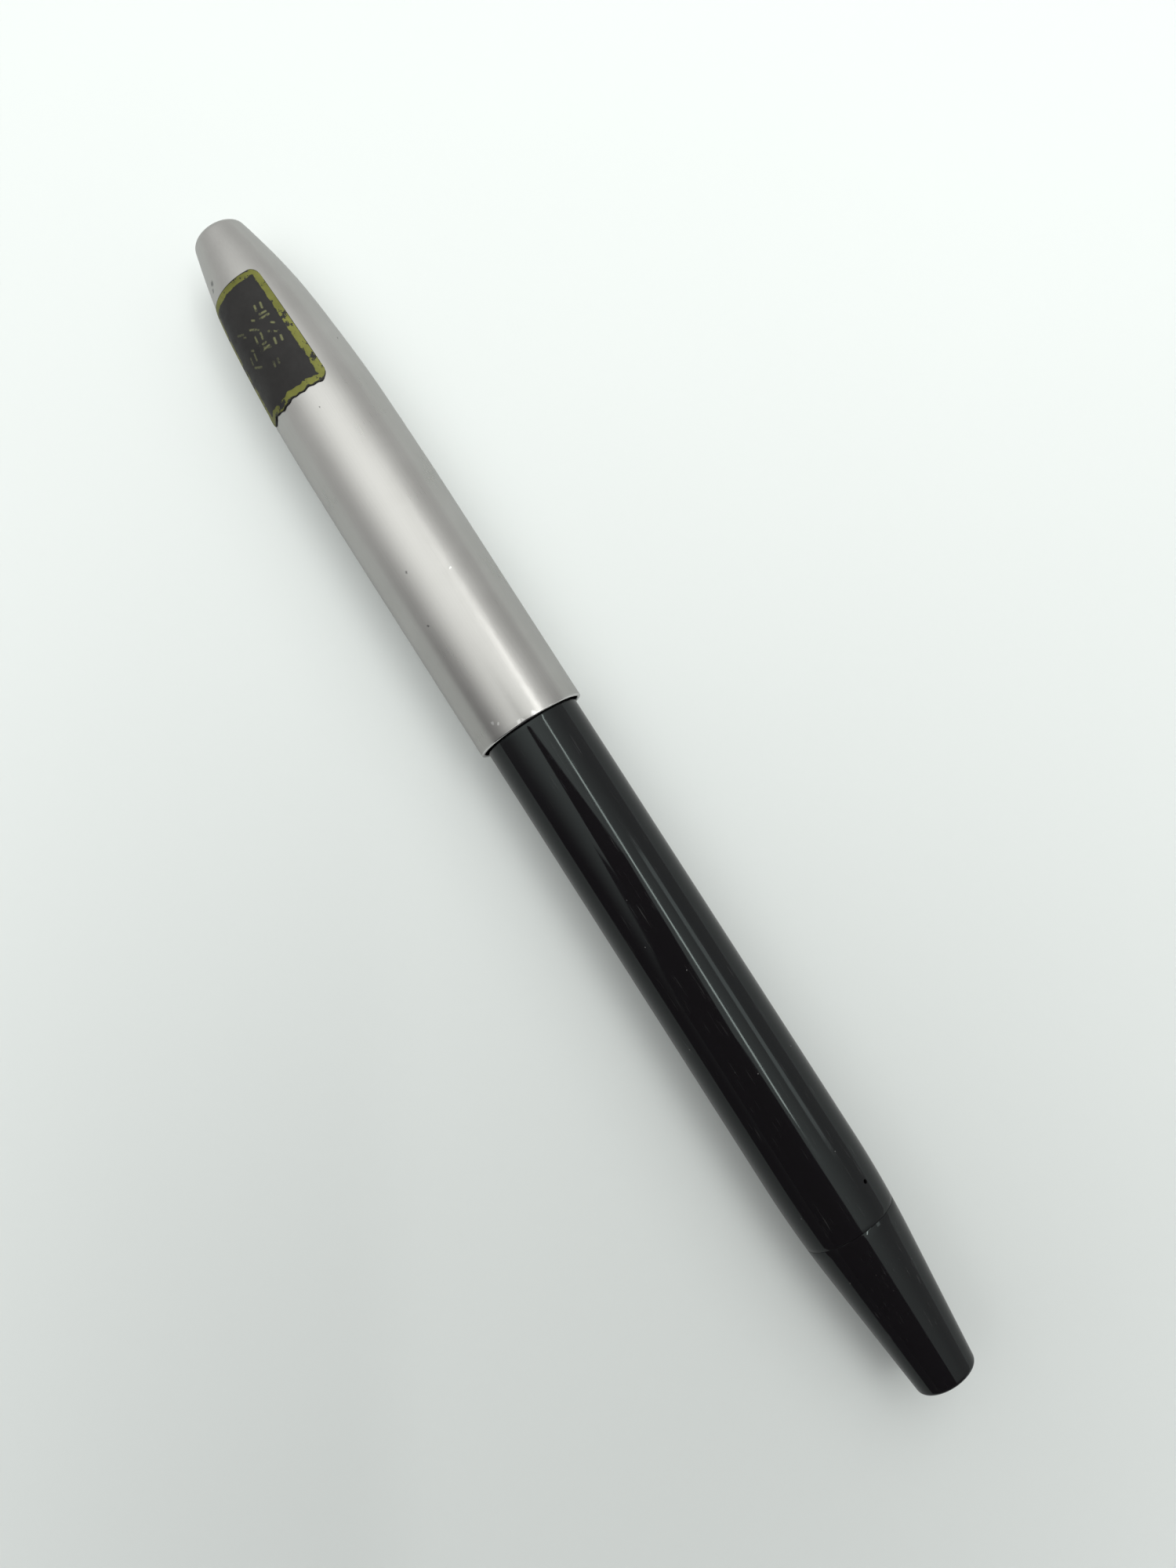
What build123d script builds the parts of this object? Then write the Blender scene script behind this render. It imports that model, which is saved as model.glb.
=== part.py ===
"""A capped fountain pen that fills by a pneumatic plunger: steel cap, black barrel, 137 mm long.

The pen lies on its side with its axis level. +X runs along the pen to the cap's crown, +Z is up and the
origin is on the table under the middle of the pen. All lengths are in millimetres. Sections are drawn on
a plane through the pen's axis, as distance along the pen against radius, and most pieces are turned.
"""
from build123d import *
from math import acos, cos, radians, sin, tan
import os

os.makedirs("parts", exist_ok=True)

# Driving dimensions: the outside
pen_length = 137.0
cap_length = 61.3
lip_r = 5.88
cap_wall = 0.35
crown_r = 2.8
crown_round = 0.8
barrel_r = 5.2
seam_x = -51.1
taper_start_x = -44.0
taper_end_x = -54.6
taper_end_r = 4.65
tail_r = 3.2
tail_round = 0.5

# Places along the pen
crown_x = pen_length / 2
tail_x = -pen_length / 2
lip_x = crown_x - cap_length
cap_straight_end_x = 32.0
cap_taper_points = ((40.4, 5.80), (47.0, 5.65), (53.7, 5.23), (60.4, 4.53))
shoulder_x = 12.0
seal_x = 1.5
gland_x = -46.2
nipple_end_x = -55.3
section_back_x = 15.0
section_front_x = 33.0
nib_root_x = 25.2
nib_tip_x = 49.5
inner_cap_mouth_x = 29.5
inner_cap_end_x = 57.4

# Radii from the middle outwards
screw_r = 0.75
sac_r = 2.6
protector_r = 2.95
tube_bore_r = 3.1
tube_r = 3.3
guide_r = 3.4
bore_r = 3.9
nipple_r = 4.02
front_bore_r = 4.1
blind_cap_bore_r = 4.12
band_r = 4.9

# Small clearances and threads
touch = 0.02
snug = 0.05
thread_pitch = 0.8
thread_depth = 0.2
thread_runout = 0.5

# The clip lies underneath, turned away from straight down until it just clears the table
axis_height = lip_r
clip_clearance = 0.3
clip_round = 1.4
clip_centre_r = 5.9
clip_top_r = clip_centre_r + clip_round
clip_thickness = 0.7
clip_slope = radians(1.2)
clip_angle = acos((lip_r - clip_round - clip_clearance) / clip_centre_r)
pivot_x = 58.8

PEN_AXIS = Axis((0, 0, axis_height), (1, 0, 0))
SIDE = Plane(origin=(0, 0, axis_height), x_dir=(1, 0, 0), z_dir=(0, -1, 0))
CLIP_SIDE = Plane(
    origin=(0, 0, axis_height),
    x_dir=(1, 0, 0),
    z_dir=(0, cos(clip_angle), -sin(clip_angle)),
)


def cross_plane(x):
    """The plane across the pen at x: local x is +Y and local y is +Z."""
    return Plane(origin=(x, 0, axis_height), x_dir=(0, 1, 0), z_dir=(1, 0, 0))


def clip_cross_plane(x):
    """The plane across the clip's sloping arm, whose local y points out through its middle."""
    across = (0, -cos(clip_angle), sin(clip_angle))
    inwards = (sin(clip_angle) * sin(clip_slope), cos(clip_angle) * sin(clip_slope))
    return Plane(origin=(x, 0, axis_height), x_dir=across, z_dir=(cos(clip_slope), *inwards))


def strip(start, end, inner, outer):
    """Half section of a plain ring from one place along the pen to another, between two radii."""
    with BuildSketch(SIDE) as section:
        with Locations((start, inner)):
            Rectangle(end - start, outer - inner, align=(Align.MIN, Align.MIN))
    return section.sketch


def turned(*points):
    """Half section with straight sides through points of (place along the pen, radius)."""
    with BuildSketch(SIDE) as section:
        with BuildLine():
            Polyline(*points, close=True)
        make_face()
    return section.sketch


def threads(start, end, inner, outer):
    """Half section of a run of thread grooves, drawn as separate rings."""
    count = int((end - start) / thread_pitch)
    with BuildSketch(SIDE) as section:
        for turn in range(count):
            with Locations((start + (turn + 0.25) * thread_pitch, inner)):
                Rectangle(thread_pitch / 2, outer - inner, align=(Align.MIN, Align.MIN))
    return section.sketch


def cap_outline(grow, start, end):
    """Half section of the cap's outer form, grown by a distance, cut off at start and end."""
    with BuildSketch(SIDE) as outline:
        with BuildLine():
            Line((lip_x, 0), (lip_x, lip_r + grow))
            Line((lip_x, lip_r + grow), (cap_straight_end_x, lip_r + grow))
            Spline(
                (cap_straight_end_x, lip_r + grow),
                *[(x, r + grow) for x, r in cap_taper_points],
                (crown_x, crown_r + grow),
                tangents=((1, -0.001), (1, -0.25)),
            )
            Line((crown_x, crown_r + grow), (crown_x, 0))
            Line((crown_x, 0), (lip_x, 0))
        make_face()
        with Locations((start, 0)):
            Rectangle(end - start, 2 * lip_r, align=(Align.MIN, Align.MIN), mode=Mode.INTERSECT)
    return outline.sketch


def rear_outline():
    """Half section of the barrel and the blind cap as one form: a cylinder, a bend and a cone."""
    with BuildSketch(SIDE) as outline:
        with BuildLine():
            Line((shoulder_x, 0), (shoulder_x, barrel_r))
            Line((shoulder_x, barrel_r), (taper_start_x, barrel_r))
            TangentArc((taper_start_x, barrel_r), (taper_end_x, taper_end_r), tangent=(-1, 0))
            Line((taper_end_x, taper_end_r), (tail_x, tail_r))
            Line((tail_x, tail_r), (tail_x, 0))
            Line((tail_x, 0), (shoulder_x, 0))
        make_face()
    return outline.sketch


def save(builder, name):
    """Label a finished sub-part and write it under its own name."""
    builder.part.label = name
    export_step(builder.part, f"parts/{name}.step")


# ---------------------------------------------------------------- cap
# Cap shell: a drawn steel cover with a rounded crown, a rolled lip and a slot for the clip
lip_edge = 0.12
crown_wall = 0.6
clip_slot_length = 1.7
clip_slot_width = 2.0
with BuildPart() as cap_shell:
    revolve(cap_outline(0, lip_x, crown_x), axis=PEN_AXIS)
    fillet(cap_shell.edges().filter_by(GeomType.CIRCLE).sort_by(Axis.X)[-1], radius=crown_round)
    inside = cap_outline(-cap_wall, lip_x, crown_x - crown_wall)
    revolve(inside, axis=PEN_AXIS, mode=Mode.SUBTRACT)
    lip_edges = cap_shell.edges().filter_by(GeomType.CIRCLE).group_by(Axis.X)[0]
    fillet(lip_edges, radius=lip_edge)
    with BuildSketch(CLIP_SIDE.offset(-clip_slot_width / 2)):
        with Locations((pivot_x, lip_r)):
            Rectangle(clip_slot_length, lip_r)
    extrude(amount=clip_slot_width, mode=Mode.SUBTRACT)
save(cap_shell, "cap_shell")

# Inner cap: a moulded liner that closes round the section and keeps the nib from drying
liner_r = 4.22
liner_end_r = 3.5
liner_taper_x = 51.0
liner_floor = 0.8
liner_mouth_chamfer = 0.25
with BuildPart() as inner_cap:
    revolve(cap_outline(-cap_wall - snug, inner_cap_mouth_x, inner_cap_end_x), axis=PEN_AXIS)
    hollow = turned(
        (inner_cap_mouth_x, 0),
        (inner_cap_mouth_x, liner_r),
        (liner_taper_x, liner_r),
        (inner_cap_end_x - liner_floor, liner_end_r),
        (inner_cap_end_x - liner_floor, 0),
    )
    revolve(hollow, axis=PEN_AXIS, mode=Mode.SUBTRACT)
    mouth = inner_cap.edges().filter_by(GeomType.CIRCLE).group_by(Axis.X)[0]
    chamfer(mouth, length=liner_mouth_chamfer)
save(inner_cap, "inner_cap")

# Crown block: a moulded plug that fills the crown and holds the inner end of the clip and its spring
block_end_x = crown_x - crown_wall - snug
pocket_width = 2.0
pocket_start_x = 57.9
pocket_end_x = 63.4
pocket_floor_r = 1.8
with BuildPart() as crown_block:
    revolve(cap_outline(-cap_wall - snug, inner_cap_end_x + snug, block_end_x), axis=PEN_AXIS)
    with BuildSketch(CLIP_SIDE.offset(-pocket_width / 2)):
        with Locations((pocket_start_x, pocket_floor_r)):
            Rectangle(pocket_end_x - pocket_start_x, lip_r, align=(Align.MIN, Align.MIN))
    extrude(amount=pocket_width, mode=Mode.SUBTRACT)
save(crown_block, "crown_block")

# Clip: a long spring-steel arm with a crowned face, a ball end and a tongue that goes through the slot
tongue_half_x = 0.35
tongue_width = 1.6
tongue_overlap = 0.05
foot_end_x = 62.6
foot_low_r = 3.0
foot_high_r = 3.5
arm_low_r = clip_top_r - clip_thickness
shoulder_run = 3.2
arm_end_x = pivot_x - shoulder_run
ball_x = 27.4
arm_drop = (arm_end_x - ball_x) * tan(clip_slope)
ball_half_x = 1.0
ball_low_r = lip_r + 2 * touch
ball_end_x = ball_x + ball_half_x
neck_run = 3.2
neck_end_x = ball_x + neck_run
ball_tip = (ball_x - ball_half_x, ball_low_r + 0.45)
ball_nose = (ball_x - 0.75, clip_top_r - 0.4)
ball_heel = (ball_x + 1.3, ball_low_r + 0.3)
tongue_back_x = pivot_x - tongue_half_x
tongue_front_x = pivot_x + tongue_half_x
shoulder_low_r = 5.05
shoulder_back_r = shoulder_low_r + 0.3
shoulder_crest = (pivot_x - 0.7, shoulder_back_r + 0.95)
shoulder_hollow = (pivot_x - 1.3, shoulder_low_r + 0.62)
with BuildPart() as clip:
    with BuildSketch(CLIP_SIDE.offset(-clip_round)):
        with BuildLine():
            Line((tongue_back_x, shoulder_low_r), (tongue_front_x, shoulder_low_r))
            Line((tongue_front_x, shoulder_low_r), (tongue_front_x, shoulder_back_r))
            ThreePointArc(
                (tongue_front_x, shoulder_back_r),
                shoulder_crest,
                (arm_end_x, clip_top_r - arm_drop),
            )
            Line((arm_end_x, clip_top_r - arm_drop), (ball_end_x, clip_top_r))
            ThreePointArc(
                (ball_end_x, clip_top_r),
                ball_nose,
                ball_tip,
            )
            ThreePointArc(
                ball_tip,
                (ball_x, ball_low_r),
                ball_heel,
            )
            Line(ball_heel, (neck_end_x, arm_low_r))
            Line((neck_end_x, arm_low_r), (arm_end_x, arm_low_r - arm_drop))
            ThreePointArc(
                (arm_end_x, arm_low_r - arm_drop),
                shoulder_hollow,
                (tongue_back_x, shoulder_low_r),
            )
        make_face()
    extrude(amount=2 * clip_round)
    with BuildSketch(clip_cross_plane(ball_x - 2 * ball_half_x)):
        with Locations((0, clip_centre_r)):
            Circle(clip_round)
        with Locations((0, clip_centre_r - clip_round)):
            Rectangle(2 * clip_round, 2 * clip_round)
    extrude(amount=foot_end_x - ball_x, mode=Mode.INTERSECT)
    with BuildSketch(CLIP_SIDE.offset(-tongue_width / 2)):
        with BuildLine():
            Polyline(
                (tongue_back_x, shoulder_low_r + tongue_overlap),
                (tongue_back_x, foot_low_r),
                (foot_end_x, foot_low_r),
                (foot_end_x, foot_high_r),
                (tongue_front_x, foot_high_r),
                (tongue_front_x, shoulder_low_r + tongue_overlap),
                close=True,
            )
        make_face()
    extrude(amount=tongue_width)
save(clip, "clip")

# Clip spring: a bent leaf that pushes the clip's foot outwards, so the ball end closes on the cap
leaf = 0.25
leaf_width = 1.4
leaf_bend = 2.0
leaf_start_x = 59.6
leaf_end_x = 62.9
leaf_low_r = pocket_floor_r + touch
leaf_high_r = foot_low_r - touch
with BuildPart() as clip_spring:
    with BuildSketch(CLIP_SIDE.offset(-leaf_width / 2)):
        with BuildLine():
            Polyline(
                (leaf_start_x, leaf_low_r),
                (leaf_end_x, leaf_low_r),
                (leaf_end_x, leaf_low_r + leaf),
                (leaf_end_x - leaf_bend, leaf_high_r),
                (leaf_start_x + leaf, leaf_high_r),
                (leaf_start_x + leaf, leaf_high_r - leaf),
                (leaf_end_x - leaf_bend - leaf / 2, leaf_high_r - leaf),
                (leaf_end_x - 2 * leaf, leaf_low_r + leaf),
                (leaf_start_x, leaf_low_r + leaf),
                close=True,
            )
        make_face()
    extrude(amount=leaf_width)
save(clip_spring, "clip_spring")

# Clutch ring: spring fingers inside the mouth of the cap that snap over the band on the section
clutch_gap = 0.03
clutch_thickness = 0.25
clutch_r = lip_r - cap_wall - clutch_gap
clutch_low_r = clutch_r - clutch_thickness
finger_start_x = 12.4
finger_grip_x = 13.5
finger_neck_x = 14.6
finger_end_x = 19.0
clutch_end_x = 21.0
finger_low_r = 5.12
finger_thickness = 0.16
finger_gap = 0.7
finger_count = 8
with BuildPart() as clutch_ring:
    revolve(strip(finger_end_x, clutch_end_x, clutch_low_r, clutch_r), axis=PEN_AXIS)
    fingers = turned(
        (finger_start_x, finger_low_r),
        (finger_grip_x, band_r + snug),
        (finger_neck_x, finger_low_r),
        (finger_end_x, clutch_low_r),
        (finger_end_x, clutch_low_r + finger_thickness),
        (finger_neck_x, finger_low_r + finger_thickness),
        (finger_grip_x, band_r + snug + finger_thickness),
        (finger_start_x, finger_low_r + finger_thickness),
    )
    revolve(fingers, axis=PEN_AXIS)
    with BuildSketch(cross_plane(finger_start_x - 1)):
        with PolarLocations(0, finger_count):
            Rectangle(2 * lip_r, finger_gap, align=(Align.MIN, Align.CENTER))
    extrude(amount=finger_end_x - finger_start_x + finger_gap, mode=Mode.SUBTRACT)
save(clutch_ring, "clutch_ring")

# Price label: a thin rounded sticker wrapped over one side of the tapering end of the cap
label_start_x = 47.2
label_end_x = 61.2
label_turn = radians(31)
label_width = 7.9
label_thickness = 0.09
label_lift = 0.01
label_corner = 0.9
label_plane = Plane(
    origin=((label_start_x + label_end_x) / 2, 0, axis_height),
    x_dir=(1, 0, 0),
    z_dir=(0, sin(label_turn), cos(label_turn)),
)
with BuildPart() as price_label:
    outer_face = cap_outline(label_lift + label_thickness, label_start_x - 1, label_end_x + 1)
    revolve(outer_face, axis=PEN_AXIS)
    inner_face = cap_outline(label_lift, label_start_x - 2, label_end_x + 2)
    revolve(inner_face, axis=PEN_AXIS, mode=Mode.SUBTRACT)
    with BuildSketch(label_plane):
        RectangleRounded(label_end_x - label_start_x, label_width, label_corner)
    extrude(amount=2 * lip_r, mode=Mode.INTERSECT)
save(price_label, "price_label")

# ---------------------------------------------------------------- nib, feed and section
# Section: the moulded grip, waisted towards the front and flared where the inner cap seals on it
section_back_r = 4.7
section_flare_x = 31.9
section_flare_r = 4.05
section_front_r = 3.2
section_bore_r = 2.38
grip_middle_x = 20.0
grip_middle_r = 4.45
grip_waist_x = 28.6
grip_waist_r = 3.72
flare_round_x = 32.7
flare_round_r = 3.82
socket_room = 0.1
connector_r = 4.0
connector_end_x = 21.0
with BuildPart() as section:
    with BuildSketch(SIDE):
        with BuildLine():
            Line((section_back_x, 0), (section_back_x, section_back_r))
            Spline(
                (section_back_x, section_back_r),
                (grip_middle_x, grip_middle_r),
                (grip_waist_x, grip_waist_r),
                (section_flare_x, section_flare_r),
                tangents=((1, 0.02), (1, 0.0)),
            )
            ThreePointArc(
                (section_flare_x, section_flare_r),
                (flare_round_x, flare_round_r),
                (section_front_x, section_front_r),
            )
            Line((section_front_x, section_front_r), (section_front_x, 0))
            Line((section_front_x, 0), (section_back_x, 0))
        make_face()
    revolve(axis=PEN_AXIS)
    socket = strip(section_back_x, connector_end_x + socket_room, 0, connector_r + touch)
    revolve(socket, axis=PEN_AXIS, mode=Mode.SUBTRACT)
    feed_bore = strip(section_back_x, section_front_x, 0, section_bore_r)
    revolve(feed_bore, axis=PEN_AXIS, mode=Mode.SUBTRACT)
save(section, "section")

# Clutch band: the bright ring between section and barrel that the cap's fingers grip
band_chamfer = 0.2
with BuildPart() as clutch_band:
    band = strip(shoulder_x + touch, section_back_x - touch, connector_r + touch, band_r)
    revolve(band, axis=PEN_AXIS)
    band_edges = clutch_band.edges().filter_by(GeomType.CIRCLE).sort_by(SortBy.RADIUS)[-2:]
    chamfer(band_edges, length=band_chamfer)
save(clutch_band, "clutch_band")

# Section connector: a threaded bush that joins the section to the barrel
connector_start_x = 3.0
flange_start_x = 7.0
flange_end_x = 12.0
flange_r = 2.88
with BuildPart() as section_connector:
    revolve(strip(connector_start_x, connector_end_x, 0, connector_r), axis=PEN_AXIS)
    thread_root_r = connector_r - thread_depth
    barrel_threads = threads(connector_start_x + thread_runout, shoulder_x, thread_root_r, band_r)
    revolve(barrel_threads, axis=PEN_AXIS, mode=Mode.SUBTRACT)
    section_threads = threads(section_back_x, connector_end_x, thread_root_r, band_r)
    revolve(section_threads, axis=PEN_AXIS, mode=Mode.SUBTRACT)
    protector_socket = strip(connector_start_x, flange_start_x, 0, protector_r + touch)
    revolve(protector_socket, axis=PEN_AXIS, mode=Mode.SUBTRACT)
    flange_bore = strip(flange_start_x, flange_end_x, 0, flange_r + touch)
    revolve(flange_bore, axis=PEN_AXIS, mode=Mode.SUBTRACT)
    feed_socket = strip(flange_end_x, connector_end_x, 0, section_bore_r)
    revolve(feed_socket, axis=PEN_AXIS, mode=Mode.SUBTRACT)
save(section_connector, "section_connector")

# Feed: the finned bar under the nib that carries ink forwards and air back
feed_back_x = flange_end_x + snug
feed_collar_r = section_bore_r - touch
collar_gap = 0.2
feed_collar_end_x = nib_root_x - collar_gap
feed_bar_r = 2.0
feed_shoulder_r = 2.22
feed_tip_x = 46.6
feed_tip_r = 0.82
feed_tip_round = 0.5
fins_start_x = 33.6
fins_end_x = 41.2
fin_root_r = 1.45
channel_r = 0.6
channel_length = 4.0
ink_slot_width = 0.4
ink_slot_depth = 1.4
flare_gap = 0.2
flare_x = section_front_x + flare_gap
shoulder_front_x = 36.5
with BuildPart() as feed:
    bar = turned(
        (feed_back_x, 0),
        (feed_back_x, feed_collar_r),
        (feed_collar_end_x, feed_collar_r),
        (feed_collar_end_x, feed_bar_r),
        (flare_x, feed_bar_r),
        (shoulder_front_x, feed_shoulder_r),
        (feed_tip_x - feed_tip_round, feed_tip_r),
        (feed_tip_x, feed_tip_round),
        (feed_tip_x, 0),
    )
    revolve(bar, axis=PEN_AXIS)
    fins = threads(fins_start_x, fins_end_x, fin_root_r, section_bore_r)
    revolve(fins, axis=PEN_AXIS, mode=Mode.SUBTRACT)
    channel = strip(feed_back_x, feed_back_x + channel_length, 0, channel_r)
    revolve(channel, axis=PEN_AXIS, mode=Mode.SUBTRACT)
    with BuildSketch(cross_plane(feed_back_x)):
        with Locations((0, feed_bar_r)):
            Rectangle(ink_slot_width, ink_slot_depth)
    extrude(amount=feed_tip_x - feed_back_x, mode=Mode.SUBTRACT)
save(feed, "feed")

# Nib: a thin curved steel blade with shoulders, a breather hole and a slit to the point
nib_thickness = 0.25
nib_root_r = 2.06
nib_shoulder_r = 2.3
nib_tip_r = 0.45
breather_x = 39.6
breather_r = 0.4
slit_width = 0.08
nib_edge_z = 0.2
nib_wing_start_x = 31.5
nib_wing_x = 34.0
nib_wing_z = -0.75
nib_side_x = 38.0
nib_side_z = -0.55
nib_end_z = 0.25
nib_room = 0.1
with BuildPart() as nib:
    blade = turned(
        (nib_root_x, nib_root_r),
        (flare_x, nib_root_r),
        (shoulder_front_x, nib_shoulder_r),
        (nib_tip_x, nib_tip_r),
        (nib_tip_x, nib_tip_r + nib_thickness),
        (shoulder_front_x, nib_shoulder_r + nib_thickness),
        (flare_x, nib_root_r + nib_thickness),
        (nib_root_x, nib_root_r + nib_thickness),
    )
    revolve(blade, axis=PEN_AXIS)
    with BuildSketch(SIDE.offset(-lip_r)):
        with BuildLine():
            Polyline(
                (nib_root_x - nib_room, nib_edge_z),
                (nib_wing_start_x, nib_edge_z),
                (nib_wing_x, nib_wing_z),
                (nib_side_x, nib_side_z),
                (nib_tip_x + nib_room, nib_end_z),
                (nib_tip_x + nib_room, lip_r),
                (nib_root_x - nib_room, lip_r),
                close=True,
            )
        make_face()
    extrude(amount=2 * lip_r, mode=Mode.INTERSECT)
    with BuildSketch(Plane.XY.offset(axis_height)):
        with Locations((breather_x, 0)):
            Circle(breather_r)
        with Locations((breather_x, 0)):
            Rectangle(nib_tip_x - breather_x + nib_room, slit_width, align=(Align.MIN, Align.CENTER))
    extrude(amount=lip_r, mode=Mode.SUBTRACT)
save(nib, "nib")

# Nib point: the two pellets of hard alloy at the end of the slit, drawn as one
point_r = 0.36
point_length = 0.8
point_root_share = 0.8
point_nose_share = 0.6
point_height = axis_height + nib_tip_r + nib_thickness / 4
point_plane = Plane(origin=(nib_tip_x + touch, 0, point_height), z_dir=(1, 0, 0))
with BuildPart() as nib_point:
    with BuildSketch(point_plane):
        Circle(point_r * point_root_share)
    with BuildSketch(point_plane.offset(point_length / 2)):
        Circle(point_r)
    with BuildSketch(point_plane.offset(point_length)):
        Circle(point_r * point_nose_share)
    loft()
    fillet(nib_point.edges().sort_by(Axis.X)[-1], radius=point_r / 4)
save(nib_point, "nib_point")

# ---------------------------------------------------------------- barrel and filling unit
# A fine V groove runs round the joint between the barrel and the blind cap
taper_drop = barrel_r - taper_end_r
taper_run = taper_start_x - taper_end_x
bend_r = (taper_run**2 + taper_drop**2) / (2 * taper_drop)
seam_r = barrel_r - (taper_start_x - seam_x) ** 2 / (2 * bend_r)
groove_depth = 0.07
groove_half = 3 * groove_depth
groove_top_r = seam_r + 2 * groove_depth
seam_groove = turned(
    (seam_x - groove_half, groove_top_r),
    (seam_x, seam_r - groove_depth),
    (seam_x + groove_half, groove_top_r),
)

# Barrel: the black body, bored for the plunger, with a threaded nipple at the back and a vent hole
relief_lead = 0.1
relief_x = lip_x - relief_lead
relief_depth = 0.2
front_chamfer = 0.1
vent_x = -47.5
vent_turn = radians(40)
vent_r = 0.22
with BuildPart() as barrel:
    revolve(rear_outline(), axis=PEN_AXIS)
    split(bisect_by=Plane.YZ.offset(seam_x + touch), keep=Keep.TOP)
    revolve(seam_groove, axis=PEN_AXIS, mode=Mode.SUBTRACT)
    nipple = strip(nipple_end_x, seam_x + snug, 0, nipple_r)
    revolve(nipple, axis=PEN_AXIS)
    relief = strip(relief_x, shoulder_x, barrel_r - relief_depth, lip_r)
    revolve(relief, axis=PEN_AXIS, mode=Mode.SUBTRACT)
    nipple_threads = threads(nipple_end_x, seam_x, nipple_r - thread_depth, band_r)
    revolve(nipple_threads, axis=PEN_AXIS, mode=Mode.SUBTRACT)
    guide_bore = strip(nipple_end_x, shoulder_x, 0, guide_r)
    revolve(guide_bore, axis=PEN_AXIS, mode=Mode.SUBTRACT)
    main_bore = strip(gland_x, shoulder_x, 0, bore_r)
    revolve(main_bore, axis=PEN_AXIS, mode=Mode.SUBTRACT)
    front_bore = strip(seal_x, shoulder_x, 0, front_bore_r)
    revolve(front_bore, axis=PEN_AXIS, mode=Mode.SUBTRACT)
    front_edge = barrel.edges().filter_by(GeomType.CIRCLE).group_by(Axis.X)[-1]
    chamfer(front_edge.sort_by(SortBy.RADIUS)[-1], length=front_chamfer)
    vent_plane = Plane(
        origin=(vent_x, 0, axis_height), x_dir=(1, 0, 0), z_dir=(0, -sin(vent_turn), cos(vent_turn))
    )
    with BuildSketch(vent_plane):
        Circle(vent_r)
    extrude(amount=2 * barrel_r, mode=Mode.SUBTRACT)
save(barrel, "barrel")

# Front seal: a flat rubber ring between the connector and the step in the barrel's bore
with BuildPart() as front_seal:
    seal = strip(seal_x + touch, connector_start_x - touch, protector_r + snug, front_bore_r - snug)
    revolve(seal, axis=PEN_AXIS)
save(front_seal, "front_seal")

# Sac nipple: the flanged spout that the ink sac is cemented to
nipple_bore_r = 0.64
spout_r = 2.1
spout_end_x = -1.0
with BuildPart() as sac_nipple:
    revolve(strip(flange_start_x + touch, flange_end_x - touch, nipple_bore_r, flange_r), axis=PEN_AXIS)
    revolve(strip(spout_end_x, flange_end_x - touch, nipple_bore_r, spout_r), axis=PEN_AXIS)
save(sac_nipple, "sac_nipple")

# Ink sac: a soft tube, closed and rounded at the back
sac_bore_r = spout_r + touch
sac_mouth_x = 6.6
sac_end_x = -39.0
with BuildPart() as ink_sac:
    with BuildSketch(SIDE):
        with BuildLine():
            Line((sac_mouth_x, sac_bore_r), (sac_mouth_x, sac_r))
            Line((sac_mouth_x, sac_r), (sac_end_x + sac_r, sac_r))
            RadiusArc((sac_end_x + sac_r, sac_r), (sac_end_x, 0), -sac_r)
            Line((sac_end_x, 0), (sac_end_x + sac_r - sac_bore_r, 0))
            RadiusArc((sac_end_x + sac_r - sac_bore_r, 0), (sac_end_x + sac_r, sac_bore_r), sac_bore_r)
            Line((sac_end_x + sac_r, sac_bore_r), (sac_mouth_x, sac_bore_r))
        make_face()
    revolve(axis=PEN_AXIS)
save(ink_sac, "ink_sac")

# Breather tube: the thin pipe that lets air out of the sac while it fills
breather_tube_r = 0.56
breather_tube_bore_r = 0.32
breather_tube_start_x = -34.0
channel_end_gap = 0.5
breather_tube_end_x = feed_back_x + channel_length - channel_end_gap
with BuildPart() as breather_tube:
    pipe = strip(breather_tube_start_x, breather_tube_end_x, breather_tube_bore_r, breather_tube_r)
    revolve(pipe, axis=PEN_AXIS)
save(breather_tube, "breather_tube")

# Sac protector: a fixed metal sleeve round the sac, with holes that let the air press on it
protector_bore_r = 2.75
protector_end_x = -42.0
protector_hole_r = 0.8
protector_hole_count = 4
protector_hole_pitch = 9.0
protector_holes_middle_x = -20.0
with BuildPart() as sac_protector:
    sleeve = strip(protector_end_x, flange_start_x - touch, protector_bore_r, protector_r)
    revolve(sleeve, axis=PEN_AXIS)
    with BuildSketch(Plane.XY.offset(axis_height - lip_r)):
        with Locations((protector_holes_middle_x, 0)):
            with GridLocations(protector_hole_pitch, 0, protector_hole_count, 1):
                Circle(protector_hole_r)
    extrude(amount=2 * lip_r, mode=Mode.SUBTRACT)
save(sac_protector, "sac_protector")

# Plunger O-ring and the ring that holds it at the bottom of the barrel's bore
o_ring_inner_r = tube_r + touch
o_ring_section_r = (bore_r - touch - o_ring_inner_r) / 2
with BuildPart() as plunger_o_ring:
    with BuildSketch(SIDE):
        with Locations((gland_x + touch + o_ring_section_r, o_ring_inner_r + o_ring_section_r)):
            Circle(o_ring_section_r)
    revolve(axis=PEN_AXIS)
save(plunger_o_ring, "plunger_o_ring")

retainer_length = 1.4
retainer_start_x = gland_x + 2 * o_ring_section_r + 2 * touch + snug
retainer_end_x = retainer_start_x + retainer_length
with BuildPart() as o_ring_retainer:
    retainer = strip(retainer_start_x, retainer_end_x, guide_r, bore_r - touch)
    revolve(retainer, axis=PEN_AXIS)
save(o_ring_retainer, "o_ring_retainer")

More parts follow.
